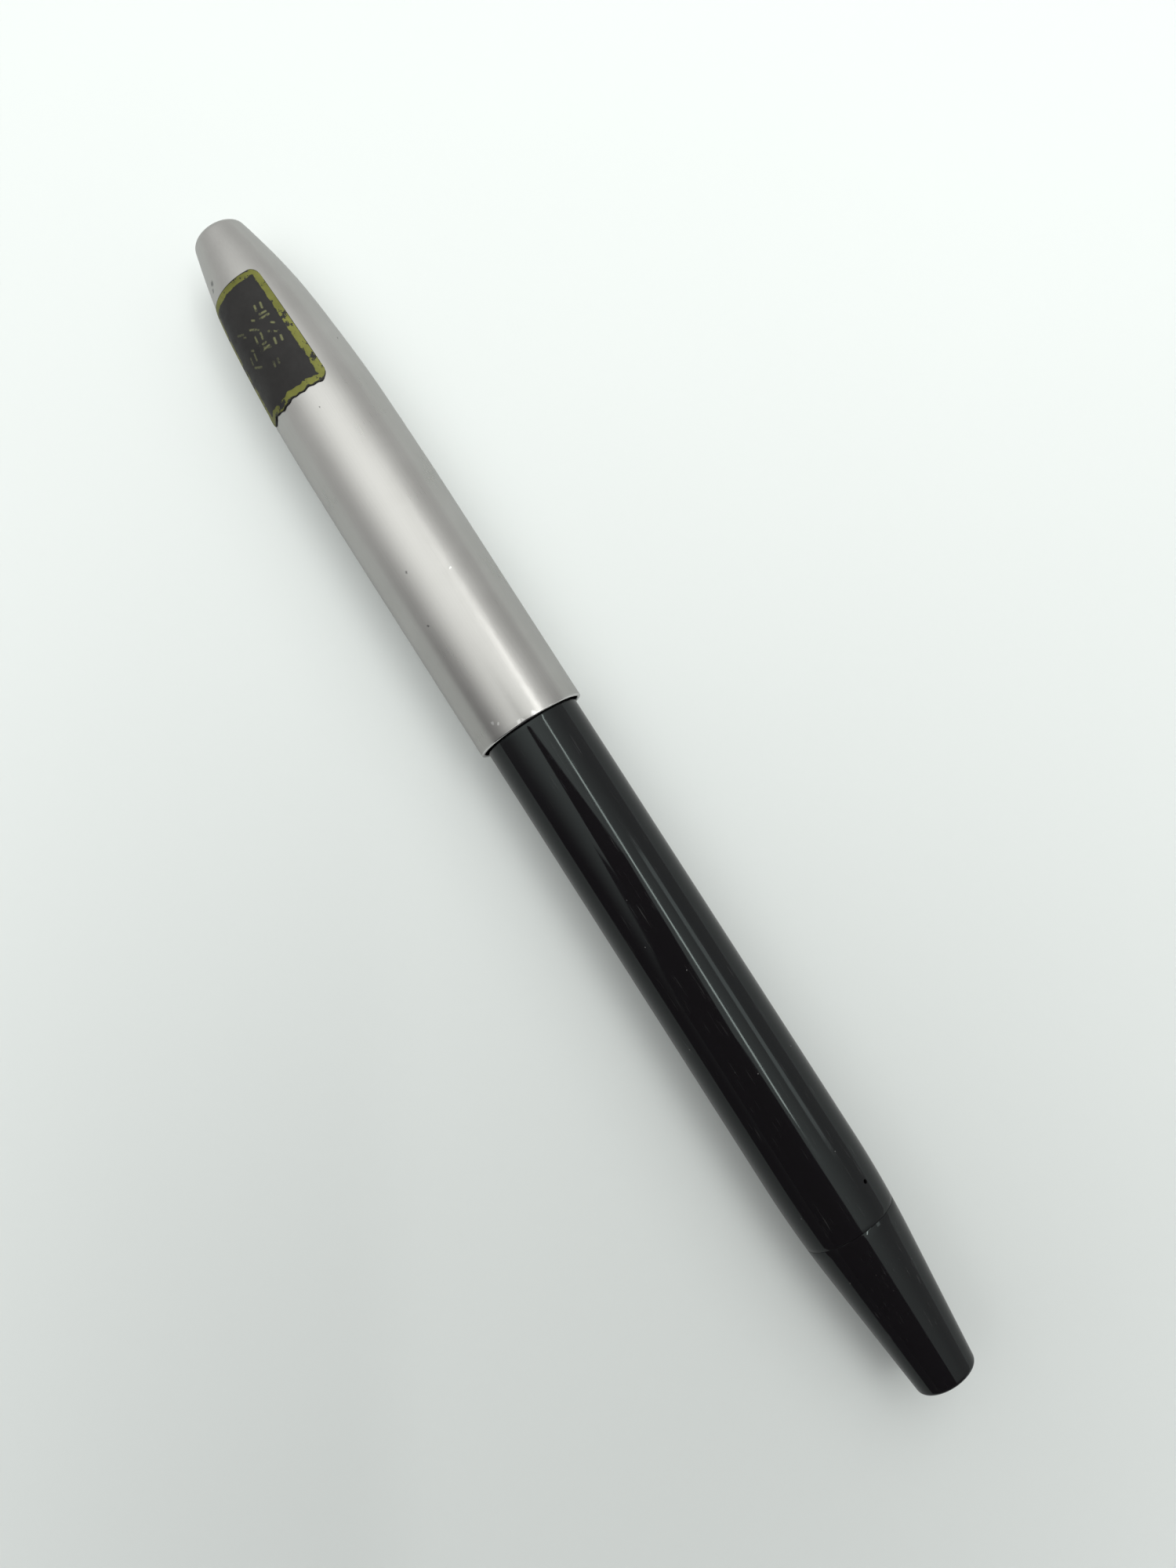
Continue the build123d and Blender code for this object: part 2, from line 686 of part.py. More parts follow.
# Plunger tube: the thin sleeve that pumps the air, with a collar that stops it at full stroke
tube_front_x = -8.0
tube_back_x = -57.4
collar_length = 0.9
collar_r = bore_r - 2 * snug
with BuildPart() as plunger_tube:
    revolve(strip(tube_back_x, tube_front_x, tube_bore_r, tube_r), axis=PEN_AXIS)
    revolve(strip(tube_front_x - collar_length, tube_front_x, tube_bore_r, collar_r), axis=PEN_AXIS)
save(plunger_tube, "plunger_tube")

# Tube plug: the brass stopper in the back of the plunger tube, drilled for the blind cap's screw
plug_front_x = -54.6
with BuildPart() as tube_plug:
    plug = strip(tube_back_x, plug_front_x, screw_r + snug, tube_bore_r - touch / 2)
    revolve(plug, axis=PEN_AXIS)
save(tube_plug, "tube_plug")

# Blind cap: the knob at the tail, threaded over the barrel's nipple and turned to free the plunger
skirt_gap = 0.3
skirt_end_x = nipple_end_x - skirt_gap
cavity_gap = 0.35
cavity_end_x = tube_back_x - cavity_gap
screw_end_x = -63.6
screw_tip_gap = 0.4
hole_end_x = screw_end_x - screw_tip_gap
with BuildPart() as blind_cap:
    revolve(rear_outline(), axis=PEN_AXIS)
    split(bisect_by=Plane.YZ.offset(seam_x - touch), keep=Keep.BOTTOM)
    revolve(seam_groove, axis=PEN_AXIS, mode=Mode.SUBTRACT)
    tail_edge = blind_cap.edges().filter_by(GeomType.CIRCLE).sort_by(Axis.X)[0]
    fillet(tail_edge, radius=tail_round)
    skirt_bore = strip(skirt_end_x, seam_x, 0, blind_cap_bore_r)
    revolve(skirt_bore, axis=PEN_AXIS, mode=Mode.SUBTRACT)
    skirt_threads = threads(skirt_end_x, seam_x - thread_runout, 0, blind_cap_bore_r + thread_depth)
    revolve(skirt_threads, axis=PEN_AXIS, mode=Mode.SUBTRACT)
    cavity = strip(cavity_end_x, skirt_end_x, 0, guide_r + snug)
    revolve(cavity, axis=PEN_AXIS, mode=Mode.SUBTRACT)
    screw_hole = strip(hole_end_x, cavity_end_x, 0, screw_r + touch / 2)
    revolve(screw_hole, axis=PEN_AXIS, mode=Mode.SUBTRACT)
save(blind_cap, "blind_cap")

# Thrust washer: spring washer between the plug and the floor of the blind cap
washer_r = 2.9
with BuildPart() as thrust_washer:
    washer = strip(cavity_end_x + touch, tube_back_x - touch, screw_r + snug, washer_r)
    revolve(washer, axis=PEN_AXIS)
save(thrust_washer, "thrust_washer")

# Blind cap screw: goes in from inside the tube and lets the blind cap turn on the plunger
head_r = 1.7
head_start_x = plug_front_x + 2 * touch
head_length = 1.1
head_end_x = head_start_x + head_length
screw_slot_width = 0.45
screw_slot_depth = 0.5
with BuildPart() as blind_cap_screw:
    revolve(strip(screw_end_x, head_end_x, 0, screw_r), axis=PEN_AXIS)
    revolve(strip(head_start_x, head_end_x, 0, head_r), axis=PEN_AXIS)
    with BuildSketch(cross_plane(head_end_x)):
        Rectangle(2.2 * head_r, screw_slot_width)
    extrude(amount=-screw_slot_depth, mode=Mode.SUBTRACT)
save(blind_cap_screw, "blind_cap_screw")
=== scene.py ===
import math

import bmesh
import bpy
import numpy as np
from mathutils import Matrix, Vector


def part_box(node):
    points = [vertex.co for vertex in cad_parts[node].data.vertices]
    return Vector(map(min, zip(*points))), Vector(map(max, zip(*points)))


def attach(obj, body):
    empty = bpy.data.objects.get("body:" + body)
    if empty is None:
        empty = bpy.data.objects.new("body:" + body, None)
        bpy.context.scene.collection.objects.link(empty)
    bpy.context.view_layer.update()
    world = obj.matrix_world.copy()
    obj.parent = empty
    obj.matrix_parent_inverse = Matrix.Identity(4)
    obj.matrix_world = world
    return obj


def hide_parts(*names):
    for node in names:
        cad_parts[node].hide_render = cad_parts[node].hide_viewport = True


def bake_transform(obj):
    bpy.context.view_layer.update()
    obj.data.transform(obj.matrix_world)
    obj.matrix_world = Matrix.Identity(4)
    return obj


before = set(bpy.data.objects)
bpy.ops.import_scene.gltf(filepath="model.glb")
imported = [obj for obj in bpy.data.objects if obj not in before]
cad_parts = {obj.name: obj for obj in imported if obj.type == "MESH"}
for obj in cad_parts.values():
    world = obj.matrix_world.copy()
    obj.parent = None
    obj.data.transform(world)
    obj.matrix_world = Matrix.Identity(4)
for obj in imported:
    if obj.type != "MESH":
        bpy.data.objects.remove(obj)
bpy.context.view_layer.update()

# The look of a capped fountain pen. Lengths are in metres unless a name says mm, and the pen's axis runs
# along X at the height axis_z. A turn is an angle round the axis, from straight up towards +Y.
MM = 0.001

# ------------------------------------------------------------------ places read from the frame
cap_low, cap_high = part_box("cap_shell")
barrel_low, barrel_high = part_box("barrel")
knob_low, knob_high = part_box("blind_cap")
label_low, label_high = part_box("price_label")
section_low, section_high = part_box("section")
nib_low, nib_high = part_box("nib")
tube_low, tube_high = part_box("plunger_tube")
band_low, band_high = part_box("clutch_band")
liner_low, liner_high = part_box("inner_cap")

axis_z = (barrel_low[2] + barrel_high[2]) / 2
lip_x = cap_low[0]
crown_x = cap_high[0]
lip_r = (cap_high[1] - cap_low[1]) / 2
barrel_r = (barrel_high[1] - barrel_low[1]) / 2
seam_x = knob_high[0]
tail_x = knob_low[0]
nipple_end_x = barrel_low[0]
shoulder_x = barrel_high[0]

# ------------------------------------------------------------------ sizes that the CAD pieces share
cap_wall = 0.35 * MM
crown_wall = 0.6 * MM
crown_r = 2.8 * MM
crown_round = 0.8 * MM
taper_start_x = -44.0 * MM
taper_end_x = -54.6 * MM
taper_end_r = 4.65 * MM
tail_r = 3.2 * MM
tail_round = 0.5 * MM
thread_pitch = 0.8 * MM
thread_depth = 0.2 * MM
clip_round = 1.4 * MM
clip_centre_r = 5.9 * MM
clip_clearance = 0.3 * MM
clip_turn = math.pi + math.acos((lip_r - clip_round - clip_clearance) / clip_centre_r)
vent_x = -47.5 * MM
vent_turn = math.radians(-40)
vent_r = 0.22 * MM


# ------------------------------------------------------------------ curves and outlines
facet = 0.8 * MM
fine_facet = 0.06 * MM


def clamped_curve(points, start_slope, end_slope):
    """A smooth cubic curve r(x) through the points, with given slopes at both ends."""
    x = np.array([p[0] for p in points])
    y = np.array([p[1] for p in points])
    gap = np.diff(x)
    count = len(x)
    rows = np.zeros((count, count))
    right = np.zeros(count)
    rows[0, 0] = rows[-1, -1] = 1
    right[0], right[-1] = start_slope, end_slope
    for i in range(1, count - 1):
        rows[i, i - 1] = gap[i]
        rows[i, i] = 2 * (gap[i - 1] + gap[i])
        rows[i, i + 1] = gap[i - 1]
        rise_before = (y[i] - y[i - 1]) / gap[i - 1]
        rise_after = (y[i + 1] - y[i]) / gap[i]
        right[i] = 3 * (gap[i] * rise_before + gap[i - 1] * rise_after)
    slope = np.linalg.solve(rows, right)

    def value(at):
        i = int(np.clip(np.searchsorted(x, at) - 1, 0, count - 2))
        t = (at - x[i]) / gap[i]
        return float(
            (2 * t**3 - 3 * t**2 + 1) * y[i]
            + (t**3 - 2 * t**2 + t) * gap[i] * slope[i]
            + (3 * t**2 - 2 * t**3) * y[i + 1]
            + (t**3 - t**2) * gap[i] * slope[i + 1]
        )

    return value


# The cap is straight from its lip to straight_end, then tapers through these places and radii in mm
straight_end = 32.0 * MM
cap_taper_mm = ((40.4, 5.80), (47.0, 5.65), (53.7, 5.23), (60.4, 4.53))
cap_taper = [(x * MM, r * MM) for x, r in cap_taper_mm]
straight_slope, crown_slope = -0.001, -0.25
cap_points = [(straight_end, lip_r), *cap_taper, (crown_x, crown_r)]
cap_curve = clamped_curve(cap_points, straight_slope, crown_slope)


def cap_radius(x):
    """The cap's outer radius at a place along the pen."""
    return lip_r if x < straight_end else cap_curve(x)


taper_drop = barrel_r - taper_end_r
taper_run = taper_start_x - taper_end_x
bend_r = (taper_run**2 + taper_drop**2) / (2 * taper_drop)


def rear_radius(x):
    """The barrel's and the blind cap's outer radius: a cylinder, a bend and a cone."""
    if x > taper_start_x:
        return barrel_r
    if x > taper_end_x:
        return barrel_r - bend_r + math.sqrt(bend_r**2 - (taper_start_x - x) ** 2)
    return tail_r + (taper_end_r - tail_r) * (x - tail_x) / (taper_end_x - tail_x)


def along(start, end, radius_at, step=facet):
    """Points of (x, r) from one place to another along a radius function, both ends included."""
    count = max(2, round(abs(end - start) / step) + 1)
    return [(float(x), radius_at(x)) for x in np.linspace(start, end, count)]


def rounded(corners, closed=False, steps=6):
    """Corners are (x, r) or (x, r, rounding). Corners with a rounding become arcs."""
    points = []
    count = len(corners)
    for i, corner in enumerate(corners):
        here = Vector(corner[:2])
        radius = corner[2] if len(corner) > 2 else 0
        if radius == 0 or (not closed and i in (0, count - 1)):
            points.append(tuple(here))
            continue
        before = (Vector(corners[i - 1][:2]) - here).normalized()
        after = (Vector(corners[(i + 1) % count][:2]) - here).normalized()
        half = before.angle(after) / 2
        middle = here + (before + after).normalized() * radius / math.sin(half)
        first = here + before * radius / math.tan(half) - middle
        last = here + after * radius / math.tan(half) - middle
        for k in range(steps + 1):
            blend = first.lerp(last, k / steps).normalized() * radius
            points.append(tuple(middle + blend))
    return points


def refined(points, closed=False, step=facet):
    """The same outline with its long runs cut into short ones."""
    made = []
    count = len(points)
    for i in range(count if closed else count - 1):
        here, there = Vector(points[i]), Vector(points[(i + 1) % count])
        pieces = max(1, math.ceil((there - here).length / step))
        made += [tuple(here.lerp(there, k / pieces)) for k in range(pieces)]
    return made if closed else made + [points[-1]]


def place(x, r, turn):
    """The point at a place along the pen, a radius and a turn."""
    return Vector((x, r * math.sin(turn), axis_z + r * math.cos(turn)))


def clip_axes():
    """Directions away from the pen's axis on the clip's side, and across the clip."""
    out = place(0, 1, clip_turn) - Vector((0, 0, axis_z))
    return out, out.cross(Vector((1, 0, 0)))


# ------------------------------------------------------------------ mesh making
sharp_edge_deg = 32
merge_distance = 1e-7
pole_r = 1e-9


def new_piece(name, vertices, faces, sharp_deg=sharp_edge_deg):
    """A mesh object with outward normals, smooth except at edges sharper than sharp_deg."""
    mesh = bpy.data.meshes.new(name)
    mesh.from_pydata([tuple(v) for v in vertices], [], faces)
    piece = bpy.data.objects.new(name, mesh)
    bpy.context.collection.objects.link(piece)
    tidy_normals(piece, sharp_deg)
    return piece


def tidy_normals(piece, sharp_deg=sharp_edge_deg):
    """Merges doubled points, turns faces outwards and shades them."""
    work = bmesh.new()
    work.from_mesh(piece.data)
    bmesh.ops.remove_doubles(work, verts=work.verts, dist=merge_distance)
    bmesh.ops.recalc_face_normals(work, faces=work.faces)
    work.to_mesh(piece.data)
    work.free()
    piece.data.shade_smooth()
    piece.data.set_sharp_from_angle(angle=math.radians(sharp_deg))


def lathe(name, outline, closed=False, segments=160, shift=None):
    """Turns an outline about the pen's axis. A point on the axis becomes a pole.
    shift(x, r, turn) moves the radius, for threads and dents."""
    vertices, rings = [], []
    for x, r in outline:
        if r < pole_r:
            rings.append([len(vertices)])
            vertices.append(place(x, 0, 0))
            continue
        rings.append(list(range(len(vertices), len(vertices) + segments)))
        for k in range(segments):
            turn = 2 * math.pi * k / segments
            vertices.append(place(x, r + (shift(x, r, turn) if shift else 0), turn))
    faces = []
    for i in range(len(rings) if closed else len(rings) - 1):
        one, two = rings[i], rings[(i + 1) % len(rings)]
        for k in range(segments):
            j = (k + 1) % segments
            if len(one) == 1:
                faces.append((one[0], two[j], two[k]))
            elif len(two) == 1:
                faces.append((one[k], one[j], two[0]))
            else:
                faces.append((one[k], one[j], two[j], two[k]))
    return new_piece(name, vertices, faces)


def apply_modifiers(piece):
    """Bakes the modifiers of a piece into its mesh."""
    bpy.context.view_layer.update()
    seen = piece.evaluated_get(bpy.context.evaluated_depsgraph_get())
    mesh = bpy.data.meshes.new_from_object(seen)
    piece.modifiers.clear()
    piece.data = mesh


def cut(piece, cutter):
    """Takes the cutter's volume out of the piece, and removes the cutter."""
    modifier = piece.modifiers.new("cut", "BOOLEAN")
    modifier.object = cutter
    modifier.solver = "EXACT"
    apply_modifiers(piece)
    bpy.data.objects.remove(cutter)
    tidy_normals(piece)


def box_between(name, corners_low, corners_high, axes):
    """A box given by its low and high corners along three axes, measured from the pen's axis."""
    vertices = []
    for i in (corners_low[0], corners_high[0]):
        for j in (corners_low[1], corners_high[1]):
            for k in (corners_low[2], corners_high[2]):
                spot = axes[0] * i + axes[1] * j + axes[2] * k
                vertices.append(Vector((0, 0, axis_z)) + spot)
    faces = [(0, 1, 3, 2), (4, 6, 7, 5), (0, 4, 5, 1), (2, 3, 7, 6), (0, 2, 6, 4), (1, 5, 7, 3)]
    return new_piece(name, vertices, faces)


def round_bar(name, start, end, radius, sides=32):
    """A plain round bar between two points, used as a drill."""
    path = end - start
    side = path.orthogonal().normalized()
    other = path.normalized().cross(side)
    vertices, faces = [], []
    for spot in (start, end):
        for k in range(sides):
            turn = 2 * math.pi * k / sides
            vertices.append(spot + side * radius * math.cos(turn) + other * radius * math.sin(turn))
    for k in range(sides):
        j = (k + 1) % sides
        faces.append((k, j, sides + j, sides + k))
    faces.append(tuple(range(sides)))
    faces.append(tuple(range(2 * sides - 1, sides - 1, -1)))
    return new_piece(name, vertices, faces)


def thread_shift(start, end, depth):
    """A helical groove between two places, cut inwards for a negative depth."""

    def shift(x, r, turn):
        if not start < x < end:
            return 0
        phase = (x / thread_pitch - turn / (2 * math.pi)) % 1
        fade = min(1, (x - start) / thread_pitch, (end - x) / thread_pitch)
        return depth * fade * (0.5 - 0.5 * math.cos(2 * math.pi * phase))

    return shift


# ------------------------------------------------------------------ materials
def node(tree, kind, inputs=None, **settings):
    """Adds a node. Inputs are values or the sockets that feed them."""
    made = tree.nodes.new(kind)
    for key, value in settings.items():
        setattr(made, key, value)
    for key, value in (inputs or {}).items():
        if isinstance(value, bpy.types.NodeSocket):
            tree.links.new(value, made.inputs[key])
        else:
            made.inputs[key].default_value = value
    return made


def new_material(name, colour, metallic, roughness, **sockets):
    """A material with a Principled shader, and the tree and shader to build on."""
    made = bpy.data.materials.new(name)
    made.use_nodes = True
    tree = made.node_tree
    shader = tree.nodes["Principled BSDF"]
    shader.inputs["Base Color"].default_value = (*colour, 1)
    shader.inputs["Metallic"].default_value = metallic
    shader.inputs["Roughness"].default_value = roughness
    for key, value in sockets.items():
        shader.inputs[key.replace("_", " ")].default_value = value
    return made, tree, shader


def surface_noise(tree, scale, detail=3.0, rough=0.55, stretch=(1, 1, 1)):
    """Noise over the piece's own coordinates. Scale is in features per metre."""
    spot = node(tree, "ShaderNodeTexCoord").outputs["Object"]
    mapped = node(tree, "ShaderNodeMapping", {"Vector": spot, "Scale": stretch}).outputs["Vector"]
    inputs = {"Vector": mapped, "Scale": scale, "Detail": detail, "Roughness": rough}
    return node(tree, "ShaderNodeTexNoise", inputs).outputs["Fac"]


def ranged(tree, value, low, high, to_low=0.0, to_high=1.0):
    """Maps a value from one range to another, held at the ends."""
    inputs = {
        "Value": value,
        "From Min": low,
        "From Max": high,
        "To Min": to_low,
        "To Max": to_high,
    }
    return node(tree, "ShaderNodeMapRange", inputs).outputs["Result"]


def mixed(tree, share, one, two):
    """A colour between two colours."""
    made = node(tree, "ShaderNodeMix", {"Factor": share}, data_type="RGBA")
    for socket, colour in zip((made.inputs[6], made.inputs[7]), (one, two)):
        if isinstance(colour, bpy.types.NodeSocket):
            tree.links.new(colour, socket)
        else:
            socket.default_value = (*colour, 1)
    return made.outputs[2]


def maths(tree, operation, one, two=0.0):
    """One step of arithmetic."""
    made = node(tree, "ShaderNodeMath", operation=operation)
    for socket, value in zip(made.inputs, (one, two)):
        if isinstance(value, bpy.types.NodeSocket):
            tree.links.new(value, socket)
        else:
            socket.default_value = value
    return made.outputs[0]


def bump(tree, shader, height, distance, strength=1.0):
    """Feeds a height into the shader's normal. Distance is in metres."""
    inputs = {"Height": height, "Distance": distance, "Strength": strength}
    relief = node(tree, "ShaderNodeBump", inputs)
    tree.links.new(relief.outputs["Normal"], shader.inputs["Normal"])


def near_spots(tree, spots):
    """A ragged mask that is 1 at given points of the cap. Spots are (x mm, turn in degrees, reach mm)."""
    raggedness, core_share = 0.5 * MM, 0.4
    here = node(tree, "ShaderNodeTexCoord").outputs["Object"]
    grit = maths(tree, "SUBTRACT", surface_noise(tree, 4200), 0.5)
    ragged = maths(tree, "MULTIPLY", grit, raggedness)
    total = 0.0
    for x_mm, turn_deg, reach in spots:
        spot = tuple(place(x_mm * MM, cap_radius(x_mm * MM), math.radians(turn_deg)))
        away = node(tree, "ShaderNodeVectorMath", {"Vector": here}, operation="DISTANCE")
        away.inputs[1].default_value = spot
        away = maths(tree, "ADD", away.outputs["Value"], ragged)
        spot_mask = ranged(tree, away, core_share * reach * MM, reach * MM, 1.0, 0.0)
        total = maths(tree, "MAXIMUM", total, spot_mask)
    return total


# Small dark scuffs on the cap, and small nicks painted bright as glints: (x mm, turn in degrees, reach mm)
cap_scuffs = (
    (63.0, 52, 0.35),
    (62.4, 57, 0.25),
    (26.0, 24, 0.15),
    (44.6, 8, 0.1),
    (20.5, 35, 0.15),
    (51.0, -58, 0.12),
)
# The nicks are painted glints: near-white spots of metal colour where the real nicks catch light.
nick_glint_spots = (
    (8.9, 33, 0.2),
    (8.5, 28, 0.18),
    (7.5, 9, 0.28),
    (7.45, 5, 0.22),
    (7.5, -7, 0.28),
    (24.0, -15, 0.1),
)
# The scuff grey is marking on the metal; the nick and rim whites are painted glints and a painted
# highlight.
scuff_grey, nick_glint_white, rim_highlight_white = (0.10, 0.10, 0.10), (0.95, 0.95, 0.93), (0.93, 0.93, 0.91)
scuff_strength = 0.7
# The lip's painted highlight runs from rim_start to rim_end, where the worn metal is also made smoother.
rim_start, rim_end = lip_x + 0.06 * MM, lip_x + 0.2 * MM
rim_polish = 0.5


def cap_wear_and_highlights(material):
    """Adds scuffs, nicks painted bright as glints, and a bright line painted as a highlight along the worn
    lip edge to the cap's drawn metal.
    """
    tree = material.node_tree
    shader = tree.nodes["Principled BSDF"]
    base = shader.inputs["Base Color"].links[0].from_socket
    scuffs = maths(tree, "MULTIPLY", near_spots(tree, cap_scuffs), scuff_strength)
    base = mixed(tree, scuffs, base, scuff_grey)
    # Painted glints: the nick spots turn the metal's colour near white.
    base = mixed(tree, near_spots(tree, nick_glint_spots), base, nick_glint_white)
    here = node(tree, "ShaderNodeTexCoord").outputs["Object"]
    along_pen = node(tree, "ShaderNodeSeparateXYZ", {"Vector": here}).outputs["X"]
    # Painted highlight: a bright line along the lip's edge, on smoother metal.
    rim = ranged(tree, along_pen, rim_start, rim_end, 1.0, 0.0)
    base = mixed(tree, rim, base, rim_highlight_white)
    tree.links.new(base, shader.inputs["Base Color"])
    rough = shader.inputs["Roughness"].links[0].from_socket
    polish = maths(tree, "SUBTRACT", 1.0, maths(tree, "MULTIPLY", rim, rim_polish))
    tree.links.new(maths(tree, "MULTIPLY", rough, polish), shader.inputs["Roughness"])


def satin_metal(name, colour, dark, roughness, spread):
    """Drawn metal: fine streaks along the pen, cloudy tone and uneven gloss."""
    streak_width, streak_depth, streak_share = 0.12 * MM, 0.0012 * MM, 0.35
    streaks_along, streaks_across, clouds_per_m = 160, 1 / streak_width, 160
    edge_tint = (0.95, 0.95, 0.95, 1)
    made, tree, shader = new_material(name, colour, 1.0, roughness, Specular_Tint=edge_tint)
    streaks = surface_noise(tree, 1.0, 4.0, 0.6, (streaks_along, streaks_across, streaks_across))
    clouds = surface_noise(tree, clouds_per_m)
    streak_part = maths(tree, "MULTIPLY", streaks, streak_share)
    tone = maths(tree, "ADD", streak_part, maths(tree, "MULTIPLY", clouds, 1 - streak_share))
    base = mixed(tree, ranged(tree, tone, 0.35, 0.65), dark, colour)
    tree.links.new(base, shader.inputs["Base Color"])
    sheen = ranged(tree, tone, 0.3, 0.7, roughness - spread, roughness + spread)
    tree.links.new(sheen, shader.inputs["Roughness"])
    bump(tree, shader, streaks, streak_depth)
    return made


def black_gloss(name):
    """Polished black plastic with hairline scratches and a little dust."""
    black, dust_grey, green_tint = (0.0075, 0.0065, 0.0075), (0.16, 0.16, 0.155), (0.84, 0.99, 0.96, 1)
    roughness = 0.065
    smoothest, dullest, mark_dullness = roughness - 0.03, roughness + 0.06, 0.35
    hairline_strength, hairline_depth = 0.25, 0.0005 * MM
    hairlines_along, hairlines_across, smears_per_m, dust_per_m = 220, 5200, 260, 900.0
    made, tree, shader = new_material(name, black, 0.0, roughness, IOR=1.45, Specular_Tint=green_tint)
    stretch = (hairlines_along, hairlines_across, hairlines_across)
    scratches = surface_noise(tree, 1.0, 2.0, 0.7, stretch)
    hairlines = ranged(tree, scratches, 0.62, 0.74)
    smears = surface_noise(tree, smears_per_m, 4.0, 0.6)
    wear = maths(tree, "MULTIPLY", hairlines, ranged(tree, smears, 0.45, 0.7))
    specks = node(tree, "ShaderNodeTexVoronoi", {"Scale": dust_per_m}, feature="F1")
    tree.links.new(node(tree, "ShaderNodeTexCoord").outputs["Object"], specks.inputs["Vector"])
    dust = ranged(tree, specks.outputs["Distance"], 0.035, 0.055, 1.0, 0.0)
    dust = maths(tree, "MULTIPLY", dust, ranged(tree, smears, 0.52, 0.6))
    mark = maths(tree, "MAXIMUM", maths(tree, "MULTIPLY", wear, hairline_strength), dust)
    tree.links.new(mixed(tree, mark, black, dust_grey), shader.inputs["Base Color"])
    smeared = ranged(tree, smears, 0.3, 0.75, smoothest, dullest)
    rough = maths(tree, "ADD", smeared, maths(tree, "MULTIPLY", mark, mark_dullness))
    tree.links.new(rough, shader.inputs["Roughness"])
    bump(tree, shader, scratches, hairline_depth)
    return made


def moulded(name, colour, pale, roughness, grain=900.0):
    """Moulded plastic or rubber: fine grain and slight tone changes."""
    spread, grain_depth, clouds_per_m = 0.07, 0.01 * MM, 220
    made, tree, shader = new_material(name, colour, 0.0, roughness)
    fine = surface_noise(tree, grain, 4.0, 0.6)
    broad = surface_noise(tree, clouds_per_m)
    base = mixed(tree, ranged(tree, broad, 0.3, 0.75), colour, pale)
    tree.links.new(base, shader.inputs["Base Color"])
    sheen = ranged(tree, fine, 0.3, 0.7, roughness - spread, roughness + spread)
    tree.links.new(sheen, shader.inputs["Roughness"])
    bump(tree, shader, fine, grain_depth, 0.5)
    return made


cap_steel = satin_metal("cap_steel", (0.625, 0.62, 0.60), (0.565, 0.56, 0.54), 0.30, 0.04)
cap_wear_and_highlights(cap_steel)
clip_steel = satin_metal("clip_steel", (0.72, 0.70, 0.68), (0.62, 0.60, 0.58), 0.24, 0.05)
spring_steel = satin_metal("spring_steel", (0.5, 0.5, 0.5), (0.38, 0.38, 0.39), 0.35, 0.06)
bright_trim = satin_metal("bright_trim", (0.82, 0.82, 0.81), (0.72, 0.72, 0.71), 0.12, 0.04)
nib_steel = satin_metal("nib_steel", (0.78, 0.775, 0.76), (0.68, 0.675, 0.66), 0.16, 0.04)
brass = satin_metal("brass", (0.76, 0.56, 0.27), (0.6, 0.42, 0.18), 0.28, 0.07)
tube_metal = satin_metal("tube_metal", (0.74, 0.74, 0.74), (0.62, 0.62, 0.63), 0.22, 0.06)
gloss = black_gloss("black_gloss")
ebonite = moulded("black_ebonite", (0.018, 0.017, 0.017), (0.03, 0.028, 0.027), 0.38)
liner_plastic = moulded("liner_plastic", (0.035, 0.035, 0.037), (0.06, 0.06, 0.06), 0.42)
rubber = moulded("black_rubber", (0.02, 0.02, 0.02), (0.04, 0.039, 0.038), 0.6, 1600.0)


# The label's inks as pairs that blend into each other, and its border's edges in mm from the rim
face_ink = ((0.020, 0.019, 0.019), (0.034, 0.033, 0.032))
border_ink = ((0.12, 0.125, 0.028), (0.20, 0.205, 0.05))
print_ink, print_ink_share = (0.25, 0.26, 0.12), 0.6
border_outer_mm, border_inner_mm, border_blur_mm = 0.10, 0.78, 0.06
border_wander_mm = 0.45
paper_depth = 0.012 * MM


def label_print():
    """Old printed paper: a dark face, a worn yellow-green border and rubbed printing."""
    made, tree, shader = new_material("label_print", face_ink[0], 0.0, 0.5, Specular_IOR_Level=0.15)
    edge = node(tree, "ShaderNodeAttribute", attribute_name="edge_mm").outputs["Fac"]
    ink = node(tree, "ShaderNodeAttribute", attribute_name="ink").outputs["Fac"]
    crumbs_per_m, clouds_per_m, chips_per_m = 1300, 260, 620
    crumble = surface_noise(tree, crumbs_per_m, 5.0, 0.65)
    broad = surface_noise(tree, clouds_per_m, 4.0, 0.6)
    wander = maths(tree, "MULTIPLY", maths(tree, "SUBTRACT", crumble, 0.5), border_wander_mm)
    reach = maths(tree, "ADD", edge, wander)
    inner_side = ranged(tree, reach, border_inner_mm, border_inner_mm + border_blur_mm, 1.0, 0.0)
    outer_side = ranged(tree, reach, border_outer_mm, border_outer_mm + border_blur_mm)
    border = maths(tree, "MULTIPLY", inner_side, outer_side)
    patches = surface_noise(tree, chips_per_m, 5.0, 0.7)
    chips = ranged(tree, patches, 0.54, 0.57, 1.0, 0.0)
    border = maths(tree, "MULTIPLY", border, chips)
    rubbed = maths(tree, "MULTIPLY", ink, ranged(tree, crumble, 0.42, 0.52))
    olive = mixed(tree, ranged(tree, broad, 0.35, 0.65), *border_ink)
    face = mixed(tree, ranged(tree, broad, 0.3, 0.7), *face_ink)
    printed = mixed(tree, maths(tree, "MULTIPLY", rubbed, print_ink_share), face, print_ink)
    tree.links.new(mixed(tree, border, printed, olive), shader.inputs["Base Color"])
    tree.links.new(ranged(tree, crumble, 0.3, 0.7, 0.36, 0.52), shader.inputs["Roughness"])
    bump(tree, shader, crumble, paper_depth, 0.6)
    return made


